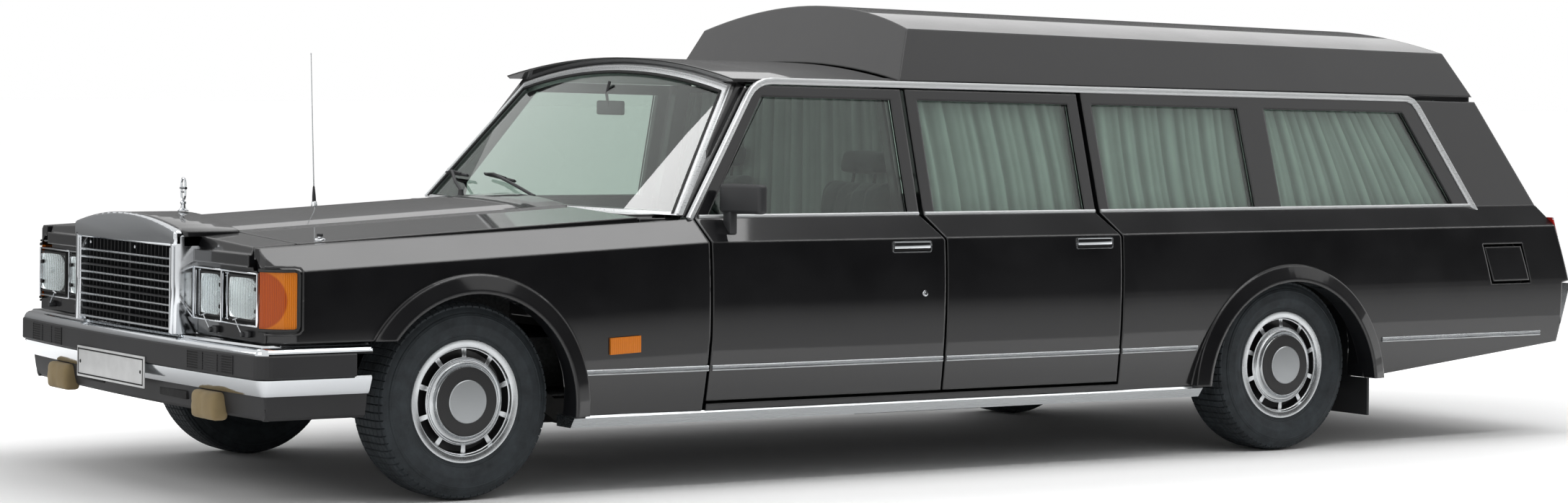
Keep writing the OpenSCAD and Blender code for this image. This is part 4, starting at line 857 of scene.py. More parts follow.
lamp_cells = ((0.442, 0.653), (0.658, 0.928))
glass, bowls, backs, wires = bmesh.new(), bmesh.new(), bmesh.new(), bmesh.new()
for y0, y1 in lamp_cells:
    in_y = y0 + 0.040 + 0.12 * (y1 - y0 - 0.21)
    bowl_depth = lambda u, v: lamp_x + 0.0012 + 0.0105 * min(1.0, ((u * u + v * v) / 1.6) ** 0.5) ** 2
    oblong_grid(bowls, in_y, y1, 0.660, 0.800, bowl_depth, corner=0.03)
    oblong_grid(
        glass, in_y, y1, 0.658, 0.802, lambda u, v: lamp_x + 0.0150 - 0.004 * (u ** 4 + v ** 4) / 2,
        corner=0.05
    )
    rod(
        bowls,
        [(lamp_x + 0.001, (in_y + y1) / 2 + 0.03, 0.735), (lamp_x + 0.010, (in_y + y1) / 2 + 0.03, 0.735)],
        0.011, 14
    )
    # side wall of the box
    block(wires, (lamp_x + 0.0008, y0 + 0.005, 0.648), (lamp_x + 0.0060, in_y - 0.016, 0.812), 0.001)
    for low, high in (
        ((in_y - 0.008, 0.652), (in_y - 0.001, 0.808)), ((in_y, 0.652), (y1, 0.6585)),
        ((in_y, 0.8015), (y1, 0.808))
    ):
        # the lamp's black rim
        block(backs, (lamp_x, low[0], low[1]), (lamp_x + 0.0135, high[0], high[1]), 0.001)
    for z in (0.766, 0.690):
        block(backs, (lamp_x + 0.012, y1 - 0.018, z - 0.007), (lamp_x + 0.0185, y1 - 0.004, z + 0.007), 0.002)
# painted shadow: a black sheet behind both lamps, so the gaps of the recess round them show dark
block(backs, (lamp_x - 0.0005, 0.440, 0.640), (lamp_x + 0.0008, 0.930, 0.820))
frame_low, frame_high, wire = 0.636, 0.822, 0.006
for y0, y1 in ((0.437, 0.4435), (0.6525, 0.6585), (0.926, 0.932)):
    block(wires, (lamp_x + 0.010, y0, frame_low), (lamp_x + 0.020, y1, frame_high), 0.002)
for y0, y1 in ((0.4436, 0.6524), (0.6586, 0.9259)):
    for z in (frame_low, frame_high - wire):
        block(wires, (lamp_x + 0.010, y0, z), (lamp_x + 0.020, y1, z + wire), 0.002)
for mesh in (glass, bowls, backs, wires):
    both_sides(mesh)
bmesh.ops.recalc_face_normals(glass, faces=glass.faces)
bmesh.ops.solidify(glass, geom=glass.faces[:], thickness=0.003)
piece("headlamp_glass", glass, "body", pressed_glass, stands_for=("headlamp_lenses",), slot="lamp_glass")
bowl = piece("headlamp_bowls", bowls, "body", reflector, slot="chrome")
piece("headlamp_backs", backs, "body", shadow_black, slot="dark_trim")
piece("headlamp_frames", wires, "body", chrome_plate, stands_for=("headlamp_bezels",), slot="chrome")

arms, motors = bmesh.new(), bmesh.new()
pivot_z = 0.606
for y in (0.590, 0.838):
    block(motors, (lamp_x - 0.002, y - 0.020, 0.596), (lamp_x + 0.016, y + 0.022, 0.620), 0.006)
    turned(
        motors, [(0.0005, 0.026), (0.008, 0.025), (0.010, 0.018), (0.010, 0.0)],
        Matrix.Translation((lamp_x, y - 0.012, pivot_z)), steps=14
    )
    rod(
        arms,
        [
            (lamp_x + 0.022, y - 0.012, pivot_z), (lamp_x + 0.024, y - 0.040, 0.634),
            (lamp_x + 0.023, y - 0.062, 0.655)
        ],
        0.0022, 6
    )
    rod(arms, [(lamp_x + 0.023, y - 0.078, 0.652), (lamp_x + 0.023, y - 0.046, 0.660)], 0.0026, 6)
both_sides(arms)
both_sides(motors)
piece("headlamp_wiper_arms", arms, "body", brushed_steel, slot="chrome")
piece("headlamp_wiper_motors", motors, "body", grained_plastic, slot="dark_trim")
print("headlamps:", len(lamp_cells) * 2, "with", len(bowl.data.polygons), "bowl faces")

# %% [markdown]
# ## Strips along the sides
# Bright strips follow the body: a narrow double bead low on the side, a half-round bead along the
# belt under the windows, and the drip rail over the doors, which turns down the last pillar. They
# are rolled sections, bent to the side's own curve, and each is cut at the shut lines, so that every
# length of it rides on the panel that it is clipped to.

# %% The side's own curve
a_x, b_x, c_x = 1.318, 0.240, -0.635          # shut lines before, between and behind the doors


def inward(x):
    """How far the side has drawn in, in plan: behind the doors and before them."""
    return 0.02269 * max(0.0, c_x - x) + 0.01746 * max(0.0, x - a_x)


def side_y(x, z):
    """The outer face of the body under the shoulder."""
    widest = 0.700 - 0.0454 * max(0.0, x - a_x)
    return 1.044 - inward(x) - (2.6 - math.sqrt(2.6 ** 2 - (z - widest) ** 2))


def frame_y(x, z):
    """The outer face of the window frames."""
    return 0.948 - 0.27 * (z - 0.988) - inward(x)


def rail_z(x):
    return 1.488 + 0.0145 * x


def post_edge(z):
    """The front edge of the front door's window frame."""
    return 1.330 - 0.756 * (z - 0.998)


def spread(a, b, count):
    return [a + (b - a) * i / (count - 1) for i in range(count)]


print(
    "door is", round(side_y(0.7, 0.7), 3), "m from the middle, its window frame",
    round(frame_y(0.7, 1.2), 3)
)

# %% Strips
bead = [
    (-0.001, -0.010), (0.0035, -0.010), (0.0060, -0.006), (0.0058, -0.002), (0.0030, -0.0005),
    (0.0030, 0.001), (0.0055, 0.003), (0.0055, 0.0075), (0.0035, 0.010), (-0.001, 0.010)
]
half_round = [
    (-0.004, -0.007), (0.003, -0.007), (0.0062, -0.003), (0.0062, 0.003), (0.003, 0.007), (-0.004, 0.007)
]
drip = [
    (-0.008, -0.013), (0.003, -0.013), (0.0075, -0.010), (0.0090, -0.003), (0.0088, 0.003), (0.0070, 0.010),
    (0.003, 0.013), (-0.008, 0.013)
]
low_runs = (("wing", "body", a_x + 0.008, 1.860), ("door_front", "door_front_{}", b_x + 0.008, a_x - 0.008),
            ("door_rear", "door_rear_{}", c_x + 0.008, b_x - 0.008), ("quarter", "body", -1.045, c_x - 0.008),
            ("tail", "body", -3.040, -2.085))
belt_runs = (
    ("door_front", "door_front_{}", b_x + 0.066, 1.318),
    ("door_rear", "door_rear_{}", c_x + 0.066, b_x + 0.036), ("quarter", "body", -2.720, c_x + 0.036)
)
lengths = 0
for side_name, side in SIDES:
    for kind, runs, section, line in (
            ("side_bead", low_runs, bead, lambda x: (x, side_y(x, 0.445), 0.445)),
            ("belt_bead", belt_runs, half_round, lambda x: (x, frame_y(x, 0.994), 0.994))):
        for run_name, body, x0, x1 in runs:
            bm = bmesh.new()
            strip(bm, section, along_path([line(x) for x in spread(x0, x1, 9)]))
            bmesh.ops.scale(bm, vec=(1.0, side, 1.0), verts=bm.verts)
            piece(
                f"{kind}.{run_name}.{side_name}", bm, body.format(side_name),
                brushed_steel if kind == "side_bead" else satin_aluminium, slot="chrome"
            )
            lengths += 1
    bm = bmesh.new()
    corner = Vector((post_edge(1.494) + 0.022, 1.494))
    post = [(post_edge(z) + 0.022, z) for z in spread(0.985, 1.440, 6)]
    bend = [
        Vector(post[-1]).lerp(corner, t).lerp(corner.lerp(Vector((0.905, rail_z(0.905) - 0.006)), t), t)
        for t in (0.25, 0.5, 0.75)
    ]
    roof_edge = [(x, rail_z(x) - 0.006) for x in spread(0.905, -2.380, 26)]
    turn = [
        (-2.430, 1.4465), (-2.462, 1.434), (-2.483, 1.410), (-2.500, 1.378), (-2.600, 1.188),
        (-2.700, 0.998), (-2.716, 0.970)
    ]
    route = [(x, frame_y(x, z) + 0.003, z) for x, z in post + bend + roof_edge + turn]
    strip(bm, drip, [spot @ Matrix.Rotation(math.pi, 4, "X") for spot in along_path(route)])
    bmesh.ops.scale(bm, vec=(1.0, side, 1.0), verts=bm.verts)
    piece(f"drip_rail.{side_name}", bm, "body", satin_aluminium, slot="chrome")
    bm = bmesh.new()
    post_face = [
        (post_edge(z) + across, frame_y(post_edge(z), z) - 0.010, z)
        for z, across in ((0.992, 0.007), (0.992, 0.052), (1.470, 0.052), (1.470, 0.007))
    ]
    plate(bm, post_face, (0.0, -0.026, 0.0))
    bmesh.ops.scale(bm, vec=(1.0, side, 1.0), verts=bm.verts)
    piece(f"screen_post_cover.{side_name}", bm, "body", black_enamel, slot="body_paint")
print("strips:", lengths, "lengths and 2 drip rails")

# %% [markdown]
# ## Window seals
# Each pane sits in a black rubber channel. It shows as a dull, soft edge between the gloss of the
# frame and the glass. A small section is swept round each opening, just outside the pane.

# %% Window seals
seal_rubber, tree, shader, place = new_finish("seal_rubber", Base_Color=linear("#0e0f0f"), Roughness=0.62)
talc = add(tree, "ShaderNodeTexNoise", {"Vector": place, "Scale": 30.0, "Detail": 4.0})
talced = add(tree, "ShaderNodeMapRange", {"Value": talc.outputs["Fac"], "To Min": 0.5, "To Max": 0.75})
tree.links.new(talced.outputs[0], shader.inputs["Roughness"])
windows = {
    "door_front": [(0.354, 0.998), (0.354, 1.4255), (0.945, 1.4345), (1.275, 0.998)],
    "door_rear": [(-0.521, 0.998), (-0.521, 1.4128), (0.228, 1.4255), (0.228, 0.998)],
    "quarter_front": [(-1.442, 0.998), (-1.442, 1.4011), (-0.647, 1.4128), (-0.647, 0.998)],
    "quarter_rear": [(-2.592, 0.998), (-2.392, 1.3873), (-1.587, 1.3990), (-1.587, 0.998)]}
for window_name, corners in windows.items():
    for side_name, side in SIDES:
        middle = Vector((sum(x for x, z in corners) / 4, sum(z for x, z in corners) / 4))
        bm = bmesh.new()
        outer = [bm.verts.new((x, frame_y(x, z) - 0.0112, z)) for x, z in corners]
        rim = bmesh.ops.inset_region(
            bm, faces=[bm.faces.new(outer)], thickness=0.009, use_even_offset=True, use_boundary=True
        )["faces"]
        bmesh.ops.delete(bm, geom=[face for face in bm.faces if face not in rim], context="FACES_ONLY")
        grown = bmesh.ops.extrude_face_region(bm, geom=bm.faces[:])["geom"]
        bmesh.ops.translate(
            bm, vec=(0.0, 0.0065, 0.0),
            verts=[part for part in grown if isinstance(part, bmesh.types.BMVert)]
        )
        bmesh.ops.scale(bm, vec=(1.0, side, 1.0), verts=bm.verts)
        piece(
            f"window_seal.{window_name}.{side_name}", bm,
            f"{window_name}_{side_name}" if "door" in window_name else "body", seal_rubber, slot="dark_trim"
        )
print("seals:", 2 * len(windows))

# %% [markdown]
# ## Door handles and locks
# The handle is a bright flap, flush in a shallow tray high on the door, with a round lock below it.
# The tray is a plate, inset and pushed in, and the flap closes most of it. The floor of the tray is a black
# plate, a painted shade in the recess.

# %% Door handles and locks
tray_low, tray_high, lock_z = 0.851, 0.896, 0.696
for side_name, side in SIDES:
    for door, x0, x1, lock_x in (("door_front", 0.312, 0.497, 0.343), ("door_rear", -0.585, -0.399, None)):
        y = side_y((x0 + x1) / 2, 0.874)
        rim, flap, tray = bmesh.new(), bmesh.new(), bmesh.new()
        tray_corners = ((x0, tray_low), (x1, tray_low), (x1, tray_high), (x0, tray_high))
        face = rim.faces.new([rim.verts.new((x, y - 0.002, z)) for x, z in tray_corners])
        bmesh.ops.bevel(
            rim, geom=face.verts[:], offset=0.009, offset_type="OFFSET", segments=4, profile=0.5,
            affect="VERTICES", material=-1
        )
        border = bmesh.ops.inset_region(
            rim, faces=rim.faces[:], thickness=0.004, use_even_offset=True, use_boundary=True
        )["faces"]
        bmesh.ops.delete(rim, geom=[face for face in rim.faces if face not in border], context="FACES_ONLY")
        grown = bmesh.ops.extrude_face_region(rim, geom=rim.faces[:])["geom"]
        bmesh.ops.translate(
            rim, vec=(0.0, 0.006, 0.0),
            verts=[part for part in grown if isinstance(part, bmesh.types.BMVert)]
        )
        block(flap, (x0 + 0.007, y - 0.001, 0.867), (x1 - 0.007, y + 0.006, 0.8925), 0.0028)
        # painted shade: the tray's floor is black to stand for the shade in the recess
        block(tray, (x0 + 0.004, y - 0.002, 0.855), (x1 - 0.004, y + 0.0008, 0.892))
        if lock_x:
            lock_y = side_y(lock_x, lock_z) - 0.0005
            lock_spot = Matrix(((0, 0, 1, lock_x), (1, 0, 0, lock_y), (0, 1, 0, lock_z), (0, 0, 0, 1)))
            lock_profile = [(0.0005, 0.0045), (0.006, 0.0045), (0.007, 0.0035), (0.011, 0.003), (0.0125, 0.0)]
            turned(flap, lock_profile, lock_spot, steps=20)
        for part, mesh, finish in (
            ("rim", rim, brushed_steel), ("flap", flap, chrome_plate), ("tray", tray, shadow_black)
        ):
            bmesh.ops.scale(mesh, vec=(1.0, side, 1.0), verts=mesh.verts)
            piece(
                f"handle_{part}.{door}.{side_name}", mesh, f"{door}_{side_name}", finish,
                slot="dark_trim" if part == "tray" else "chrome"
            )
print("handles on 4 doors")

# %% [markdown]
# ## Door mirrors
# An oblong housing of black plastic stands on a short foot at the front corner of each door. Its
# plan is swept back. The silvered glass faces the driver, in a rim of the same plastic.

# %% Door mirrors
mirror_glass, tree, shader, place = new_finish(
    "silvered_glass", Base_Color=linear("#c9cfd2"), Metallic=1.0, Roughness=0.04
)
breath = add(tree, "ShaderNodeTexNoise", {"Vector": place, "Scale": 25.0, "Detail": 4.0})
breathed = add(tree, "ShaderNodeMapRange", {"Value": breath.outputs["Fac"], "To Min": 0.02, "To Max": 0.08})
tree.links.new(breathed.outputs[0], shader.inputs["Roughness"])
for side_name, side in SIDES:
    bm = bmesh.new()
    plate(
        bm, [(1.240, 0.958, 1.008), (1.186, 1.1455, 1.008), (1.146, 1.1455, 1.008), (1.188, 0.958, 1.008)],
        (0, 0, 0.108), 0.014, 4
    )
    plate(
        bm, [(1.224, 0.964, 0.930), (1.224, 1.012, 0.930), (1.190, 1.012, 0.930), (1.190, 0.964, 0.930)],
        (0, 0, 0.086), 0.006
    )
    bmesh.ops.scale(bm, vec=(1.0, side, 1.0), verts=bm.verts)
    piece(
        f"mirror_housing.{side_name}", bm, f"door_front_{side_name}", grained_plastic,
        stands_for=(f"mirror_{side_name}",), slot="dark_trim"
    )
    bm = bmesh.new()
    plate(
        bm,
        [(1.1855, 0.972, 1.020), (1.1500, 1.130, 1.020), (1.1475, 1.130, 1.020), (1.1830, 0.972, 1.020)],
        (0, 0, 0.084), 0.001
    )
    bmesh.ops.scale(bm, vec=(1.0, side, 1.0), verts=bm.verts)
    piece(f"mirror_face.{side_name}", bm, f"door_front_{side_name}", mirror_glass, slot="chrome")
print("mirrors made")

# %% [markdown]
# ## Windscreen trim and wipers
# The screen is a shallow curve that leans back by 40 degrees. One small function gives any point on
# it, so that the rubber seal, the inner bead of the bright frame and the wipers all lie on the
# glass. Each wiper is an arm on a spindle, with a blade held by a bridge.

# %% Windscreen trim and wipers
lean_back = math.radians(40.0)


def on_screen(y, up_slope, lift=0.0):
    sag = 5.7 - math.sqrt(5.7 ** 2 - y * y)
    out = lift - sag
    return Vector((1.498 + out * math.cos(lean_back) - up_slope * math.sin(lean_back), y,
                   1.010 + out * math.sin(lean_back) + up_slope * math.cos(lean_back)))


def screen_edge(grow):
    """The line round the glass, from the left foot over the top to the right foot."""
    arch_r = (0.716 ** 2 + 0.056 ** 2) / (2 * 0.056)
    left = [(0.930 + grow - 0.345 * s, s) for s in spread(0.055, 0.585, 8)]
    half_top = 0.716 + grow * 0.8
    top = [
        (y, 0.620 + 0.056 - arch_r + math.sqrt((arch_r + grow) ** 2 - y * y))
        for y in spread(half_top, -half_top, 17)
    ]
    return left + top + [(-y, s) for y, s in reversed(left)]


tube = [(-0.006, -0.004), (0.006, -0.004), (0.006, 0.003), (0.002, 0.0055), (-0.002, 0.0055), (-0.006, 0.003)]
screen_out = (math.cos(lean_back), 0.0, math.sin(lean_back))
bm = bmesh.new()
strip(bm, tube, along_path([on_screen(y, s, 0.0) for y, s in screen_edge(-0.004)], screen_out))
piece("windscreen_seal", bm, "body", seal_rubber, slot="dark_trim")
bm = bmesh.new()
strip(
    bm, [(y * 0.9, z * 0.9) for y, z in tube],
    along_path([on_screen(y, s, 0.001) for y, s in screen_edge(0.026)], screen_out)
)
piece("windscreen_bead", bm, "body", satin_aluminium, slot="chrome")

bm = bmesh.new()
for pivot, tip, blade_s in (
    ((1.524, 0.114), (-0.330, 0.118), 0.30), ((1.510, -0.462), (-0.748, 0.150), 0.26)
):
    base = Vector((pivot[0], pivot[1], 1.000))
    turned(bm, [(0.016, 0.0), (0.016, 0.018), (0.012, 0.030), (0.010, 0.048), (0.0005, 0.050)],
           Matrix.Translation(base) @ Matrix.Rotation(math.radians(-90), 4, "Y"), steps=16)
    head = base + Vector((0.0, 0.0, 0.044))
    middle = on_screen(tip[0], tip[1], 0.030)
    rod(bm, [head, head.lerp(middle, 0.35) + Vector((0.012, 0, 0.008)), middle], 0.0065, 8)
    run = (
        on_screen(tip[0] - 0.09, tip[1] + 0.012, 0.0) - on_screen(tip[0] + 0.09, tip[1] - 0.012, 0.0)
    ).normalized()
    foot = on_screen(tip[0], tip[1], 0.016)
    ends = [foot + run * k * blade_s for k in (-0.62, -0.3, 0.0, 0.3, 0.38)]
    strip(
        bm, [(-0.0045, -0.008), (0.0045, -0.008), (0.003, 0.004), (-0.003, 0.004)],
        along_path(ends, screen_out)
    )
    rod(bm, [foot - run * 0.36 * blade_s + Vector(screen_out) * 0.006, foot + Vector(screen_out) * 0.016,
             foot + run * 0.24 * blade_s + Vector(screen_out) * 0.006], 0.0040, 6)
piece("wiper_arms_and_blades", bm, "body", grained_plastic, stands_for=("wipers",), slot="dark_trim")
print("windscreen trimmed")

# %% [markdown]
# ## Curtains
# Behind the glass of the rear doors and the quarter panels hang gathered curtains of thin cloth.
# They can be simulated, but the folds of a curtain that is gathered at the top and held at the foot
# hardly change on the way down. So each one is a fine grid, pushed in and out by a few waves of
# different lengths, 3 to 12 cm, which never repeat. The heading at the top is gathered more tightly.
# One more curtain hangs behind the front seats. Its folds show faintly through the front doors' glass.

# %% Curtains
def mark_valleys(bm, depths):
    """Keeps on the mesh how deep each point lies in a fold, 0 on a crest and 1 in a valley, for the painted
    shade in the folds.
    """
    layer = bm.verts.layers.float.new("valley")
    for vert, depth in zip(bm.verts, depths):
        vert[layer] = min(1.0, max(0.0, 0.5 - 60.0 * depth))


window_lean = 0.27        # the side glass leans in by this much for each metre of height
curtain_set_in = 0.0573   # from the face of the window frame to the middle of the folds
side_lap, head_lap, foot_lap = 0.012, 0.012, 0.008


def cloth_width(depth_at, run, steps=600):
    """Width to which cloth is cut so that it fills a run of window with folds of this depth."""
    depths = [depth_at(k / steps) for k in range(steps + 1)]
    return sum(math.hypot(run / steps, b - a) for a, b in zip(depths, depths[1:]))


def hang_curtain(name, body, corners, side, seed, stands_for=()):
    (x0, z0), (x1, z1), (x2, z2), (x3, _) = corners
    chance = random.Random(seed)
    waves = [(length * chance.uniform(0.9, 1.1), size, chance.uniform(0.0, math.tau))
             for length, size in ((0.118, 0.0042), (0.071, 0.0046), (0.046, 0.0034), (0.031, 0.0014))]

    def fold_depth(across, up=0.5):
        run = across * (x3 - x0) + 0.010 * math.sin(3.0 * up + seed)
        return sum(size * math.sin(math.tau * run / length + phase) for length, size, phase in waves)

    bm, depths = bmesh.new(), []
    bmesh.ops.create_grid(bm, x_segments=190, y_segments=16, size=0.5)
    for vert in bm.verts:
        across, up = vert.co.x + 0.5, vert.co.y + 0.5
        left, right = x0 + (x1 - x0) * up - side_lap, x3 + (x2 - x3) * up + side_lap
        x = left + (right - left) * across
        z = z0 - foot_lap + (z1 + (z2 - z1) * across + head_lap - z0 + foot_lap) * up
        heading = max(0.0, (up - 0.92) / 0.08)
        fold = (
            fold_depth(across, up) * (1.0 - 0.5 * heading)
            + 0.0016 * heading * math.sin(math.tau * across * (x3 - x0) / 0.013)
        )
        vert.co = (x, frame_y(x, z) - curtain_set_in + fold, z)
        depths.append(fold)
    bmesh.ops.scale(bm, vec=(1.0, side, 1.0), verts=bm.verts)
    mark_valleys(bm, depths)
    cloth = piece(
        name, bm, body, cloths["curtain_voile"], stands_for=stands_for, slot="curtain_cloth", sharp=180.0
    )
    foot, top = abs(x3 - x0) + 2 * side_lap, abs(x2 - x1) + 2 * side_lap
    slant = math.hypot(1.0, window_lean)
    area = cloth_width(fold_depth, (foot + top) / 2) * slant * ((z1 + z2) / 2 + head_lap + foot_lap - z0)
    cloth_width(fold_depth, max(foot, top))
    return area


curtain_area = 0.0
for side_name, side in SIDES:
    for k, window_name in enumerate(("door_rear", "quarter_front", "quarter_rear")):
        door = window_name == "door_rear"
        if door:
            stood_for = (f"curtain_rear_{side_name}",)
        else:
            stood_for = ("quarter_curtains",) if side > 0 and window_name == "quarter_front" else ()
        curtain_area += hang_curtain(
            f"curtain.{window_name}.{side_name}", f"door_rear_{side_name}" if door else "body",
            windows[window_name], side, 3 * k + side,
            stood_for
        )


division_x, division_mid_z = 0.165, 1.045
division_width, division_mean_width, division_drop = 1.60, 1.556, 0.79


def division_swing(y):
    return (
        0.0040 * math.sin(y * 53 + 2.0 * math.sin(2.1 * y)) + 0.0034 * math.sin(y * 87 + 1.0)
        + 0.0018 * math.sin(y * 140)
    )


bm, depths = bmesh.new(), []
bmesh.ops.create_grid(bm, x_segments=220, y_segments=16, size=0.5)
for vert in bm.verts:
    y, z = division_width * vert.co.x, division_mid_z + division_drop * vert.co.y
    swing = division_swing(y)
    vert.co = (division_x + swing, y * (1.0 - 0.09 * max(0.0, (z - 0.95) / 0.5)), z)
    depths.append(swing)
mark_valleys(bm, depths)
division = piece("curtain.division", bm, "body", cloths["curtain_voile"], slot="curtain_cloth", sharp=180.0)
division_cut = [
    cloth_width(lambda across: division_swing(division_width * (across - 0.5)), run)
    for run in (division_width, division_mean_width)
]

# %% [markdown]
# ## Seats
# Two rows of two armchairs have foam cushions under ribbed wool. A cushion bulges where the cover is
# free and pulls in along its seams. Blowing up a cloth copy gives that: the block is remeshed into
# even cells, Cloth with a little pressure swells it for twenty steps, and no point may go further
# than 24 mm. The sewn channels are pressed in afterwards. One seat is blown up and the others are copies.

# %% A blown-up cushion
def swollen(name, bm, cell=0.011, cap=0.024):
    """Blows the closed shape up as cloth. Returns its mesh."""
    start = bpy.data.objects.new(name, bpy.data.meshes.new(name))
    bm.to_mesh(start.data)
    bm.free()
    bpy.context.scene.collection.objects.link(start)
    remesh = start.modifiers.new("cells", "REMESH")
    remesh.mode = "VOXEL"
    remesh.voxel_size = cell
    even = bpy.data.meshes.new_from_object(start.evaluated_get(bpy.context.evaluated_depsgraph_get()))
    start.modifiers.clear()
    start.data = even
    rest = [vert.co.copy() for vert in even.vertices]
    cover = start.modifiers.new("cover", "CLOTH")
    cover.settings.use_pressure = True
    cover.settings.uniform_pressure_force = 4.0
    cover.settings.effector_weights.gravity = 0.0
    scene = bpy.context.scene
    for step in range(1, 21):
        scene.frame_set(step)
    blown = start.evaluated_get(bpy.context.evaluated_depsgraph_get()).to_mesh()
    moved = [vert.co.copy() for vert in blown.vertices]
    start.modifiers.clear()
    scene.frame_set(1)
    for vert, a, b in zip(even.vertices, rest, moved):
        step = b - a
        vert.co = a + step * min(1.0, cap / max(step.length, 1e-9))
    bpy.data.objects.remove(start)
    return even


bm = bmesh.new()
block(bm, (-0.030, -0.225, 0.400), (0.480, 0.225, 0.545), 0.040, 3)
cushion_mesh = swollen("seat_cushion", bm)
bm = bmesh.new()
plate(
    bm, [(0.030, -0.225, 0.560), (-0.085, -0.225, 1.120), (-0.175, -0.225, 1.120), (-0.090, -0.225, 0.560)],
    (0.0, 0.45, 0.0), 0.035, 3
)
back_mesh = swollen("seat_back", bm)
bm = bmesh.new()
plate(
    bm,
    [(-0.092, -0.130, 1.135), (-0.116, -0.130, 1.222), (-0.178, -0.130, 1.222), (-0.170, -0.130, 1.135)],
    (0.0, 0.26, 0.0), 0.024, 3
)
rest_mesh = swollen("head_rest", bm, cell=0.009, cap=0.008)
print("cushions:", len(cushion_mesh.vertices), len(back_mesh.vertices), len(rest_mesh.vertices), "points")

# %% Seats
seat_off_middle = 0.4925
seat_places = {
    f"{row}.{side_name}": (row_x, side * seat_off_middle)
    for row, row_x in (("front", 0.358), ("rear", -0.550)) for side_name, side in SIDES
}
for seat_name, (seat_x, seat_y) in seat_places.items():
    for part, mesh in (("cushion", cushion_mesh), ("back", back_mesh), ("head_rest", rest_mesh)):
        bm = bmesh.new()
        bm.from_mesh(mesh)
        for vert in bm.verts:
            channel = abs((vert.co.y + 0.025) % 0.09 - 0.045) if part != "head_rest" else 0.04
            if part == "cushion":
                upper = (vert.co.z - 0.46) / 0.08
            else:
                upper = (vert.co.x + 0.07 + 0.2 * (vert.co.z - 0.6)) / 0.04
            press = 0.006 * math.exp(-(channel / 0.007) ** 2) * min(1.0, max(0.0, upper))
            vert.co -= press * (Vector((0, 0, 1)) if part == "cushion" else Vector((0.97, 0, 0.2)))
        bmesh.ops.translate(bm, vec=(seat_x, seat_y, 0.0), verts=bm.verts)
        pad = piece(
            f"seat_{part}.{seat_name}", bm, "body", cloths["ribbed_wool_cloth"], slot="seat_cloth",
            stands_for=("seats",) if (seat_name, part) == ("front.left", "cushion") else (), sharp=180.0
        )
        smoother = pad.modifiers.new("smoother", "SUBSURF")
        smoother.levels = smoother.render_levels = 1
    bm = bmesh.new()
    block(bm, (seat_x - 0.050, seat_y - 0.215, 0.342), (seat_x + 0.480, seat_y + 0.215, 0.404), 0.012)
    for y in (-0.07, 0.07):
        rod(bm, [(seat_x - 0.128, seat_y + y, 1.09), (seat_x - 0.138, seat_y + y, 1.15)], 0.006, 8)
    piece(f"seat_base.{seat_name}", bm, "body", grained_plastic, slot="dark_trim")
print("seats:", len(seat_places))

# %% [markdown]
# ## Cabin lining
# Through the glass one sees a pale cloth headlining, carpet on the floor, dark trim boards under the
# windows, the steering wheel's rim and the driver's mirror. This cell makes the headlining and the mirror.

# %% Cabin lining
bm = bmesh.new()
for vert in bmesh.ops.create_grid(bm, x_segments=8, y_segments=14, size=0.5)["verts"]:
    x, y = 0.62 + 0.62 * vert.co.x, 1.34 * vert.co.y
    vert.co = (x, y, rail_z(x) + 0.078 * (1.0 - (y / 0.815) ** 2) - 0.046)
bmesh.ops.recalc_face_normals(bm, faces=bm.faces)
bmesh.ops.solidify(bm, geom=bm.faces[:], thickness=0.004)
piece("headlining", bm, "body", cloths["curtain_voile"], slot="curtain_cloth", sharp=180.0)

bm = bmesh.new()
block(bm, (1.085, -0.088, 1.352), (1.110, 0.088, 1.408), 0.008, 3)
rod(bm, [(1.108, 0.0, 1.385), (1.118, 0.0, 1.440), (1.106, 0.0, 1.486)], 0.006, 8)
piece("driver_mirror", bm, "body", grained_plastic, slot="dark_trim")
bm = bmesh.new()
block(bm, (1.0838, -0.080, 1.358), (1.0862, 0.080, 1.402), 0.001)
piece("driver_mirror.face", bm, "body", mirror_glass, slot="chrome")
print("cabin lined")

# %% [markdown]
# ## Small fittings on the bonnet
# On top of the radiator stands a bright open frame on a short stem, which holds a pennant. Two small
# studs sit on the bonnet, and a whip aerial with a rubber foot on the right wing.

# %% Fittings on the bonnet
upright_spot = lambda x, y, z: Matrix.Translation((x, y, z)) @ Matrix.Rotation(math.radians(-90), 4, "Y")
holder_x = 2.957
bm = bmesh.new()
turned(
    bm,
    [
        (0.020, 0.0), (0.020, 0.003), (0.015, 0.006), (0.010, 0.010), (0.008, 0.024), (0.011, 0.028),
        (0.011, 0.034), (0.006, 0.038), (0.0005, 0.040)
    ],
    upright_spot(holder_x, 0.0, 0.9955), steps=20
)
loop = [(0.020 * math.cos(a), 0.040 * math.sin(a)) for a in [math.tau * (i + 0.5) / 24 for i in range(25)]]
loop = [(math.copysign(min(abs(y), 0.0165), y), z) for y, z in loop]
rod(bm, [(holder_x, y, 1.0765 + z) for y, z in loop], 0.0042, 8)
rod(bm, [(holder_x, -0.0225, 1.0800), (holder_x, 0.0225, 1.0800)], 0.0052, 10)
rod(bm, [(holder_x, -0.014, 1.066), (holder_x, 0.014, 1.066)], 0.0036, 8)
piece("pennant_holder", bm, "body", chrome_plate, stands_for=("flag_holder",), slot="chrome")

bright, dark = bmesh.new(), bmesh.new()
stud_x, bonnet_fall = 2.812, 0.0559
stud_z = 1.050 - (stud_x - 1.550) * bonnet_fall - 0.0565
for y in (0.80, -0.80):
    turned(
        bright, [(0.021, 0.0), (0.021, 0.004), (0.016, 0.008), (0.009, 0.009), (0.008, 0.016)],
        upright_spot(stud_x, y, stud_z), steps=20
    )
    turned(
        dark, [(0.011, 0.014), (0.011, 0.022), (0.009, 0.024), (0.0005, 0.0245)],
        upright_spot(stud_x, y, stud_z), steps=20
    )
piece("bonnet_studs", bright, "bonnet", chrome_plate, slot="chrome")
piece("bonnet_stud_caps", dark, "bonnet", grained_plastic, slot="dark_trim")

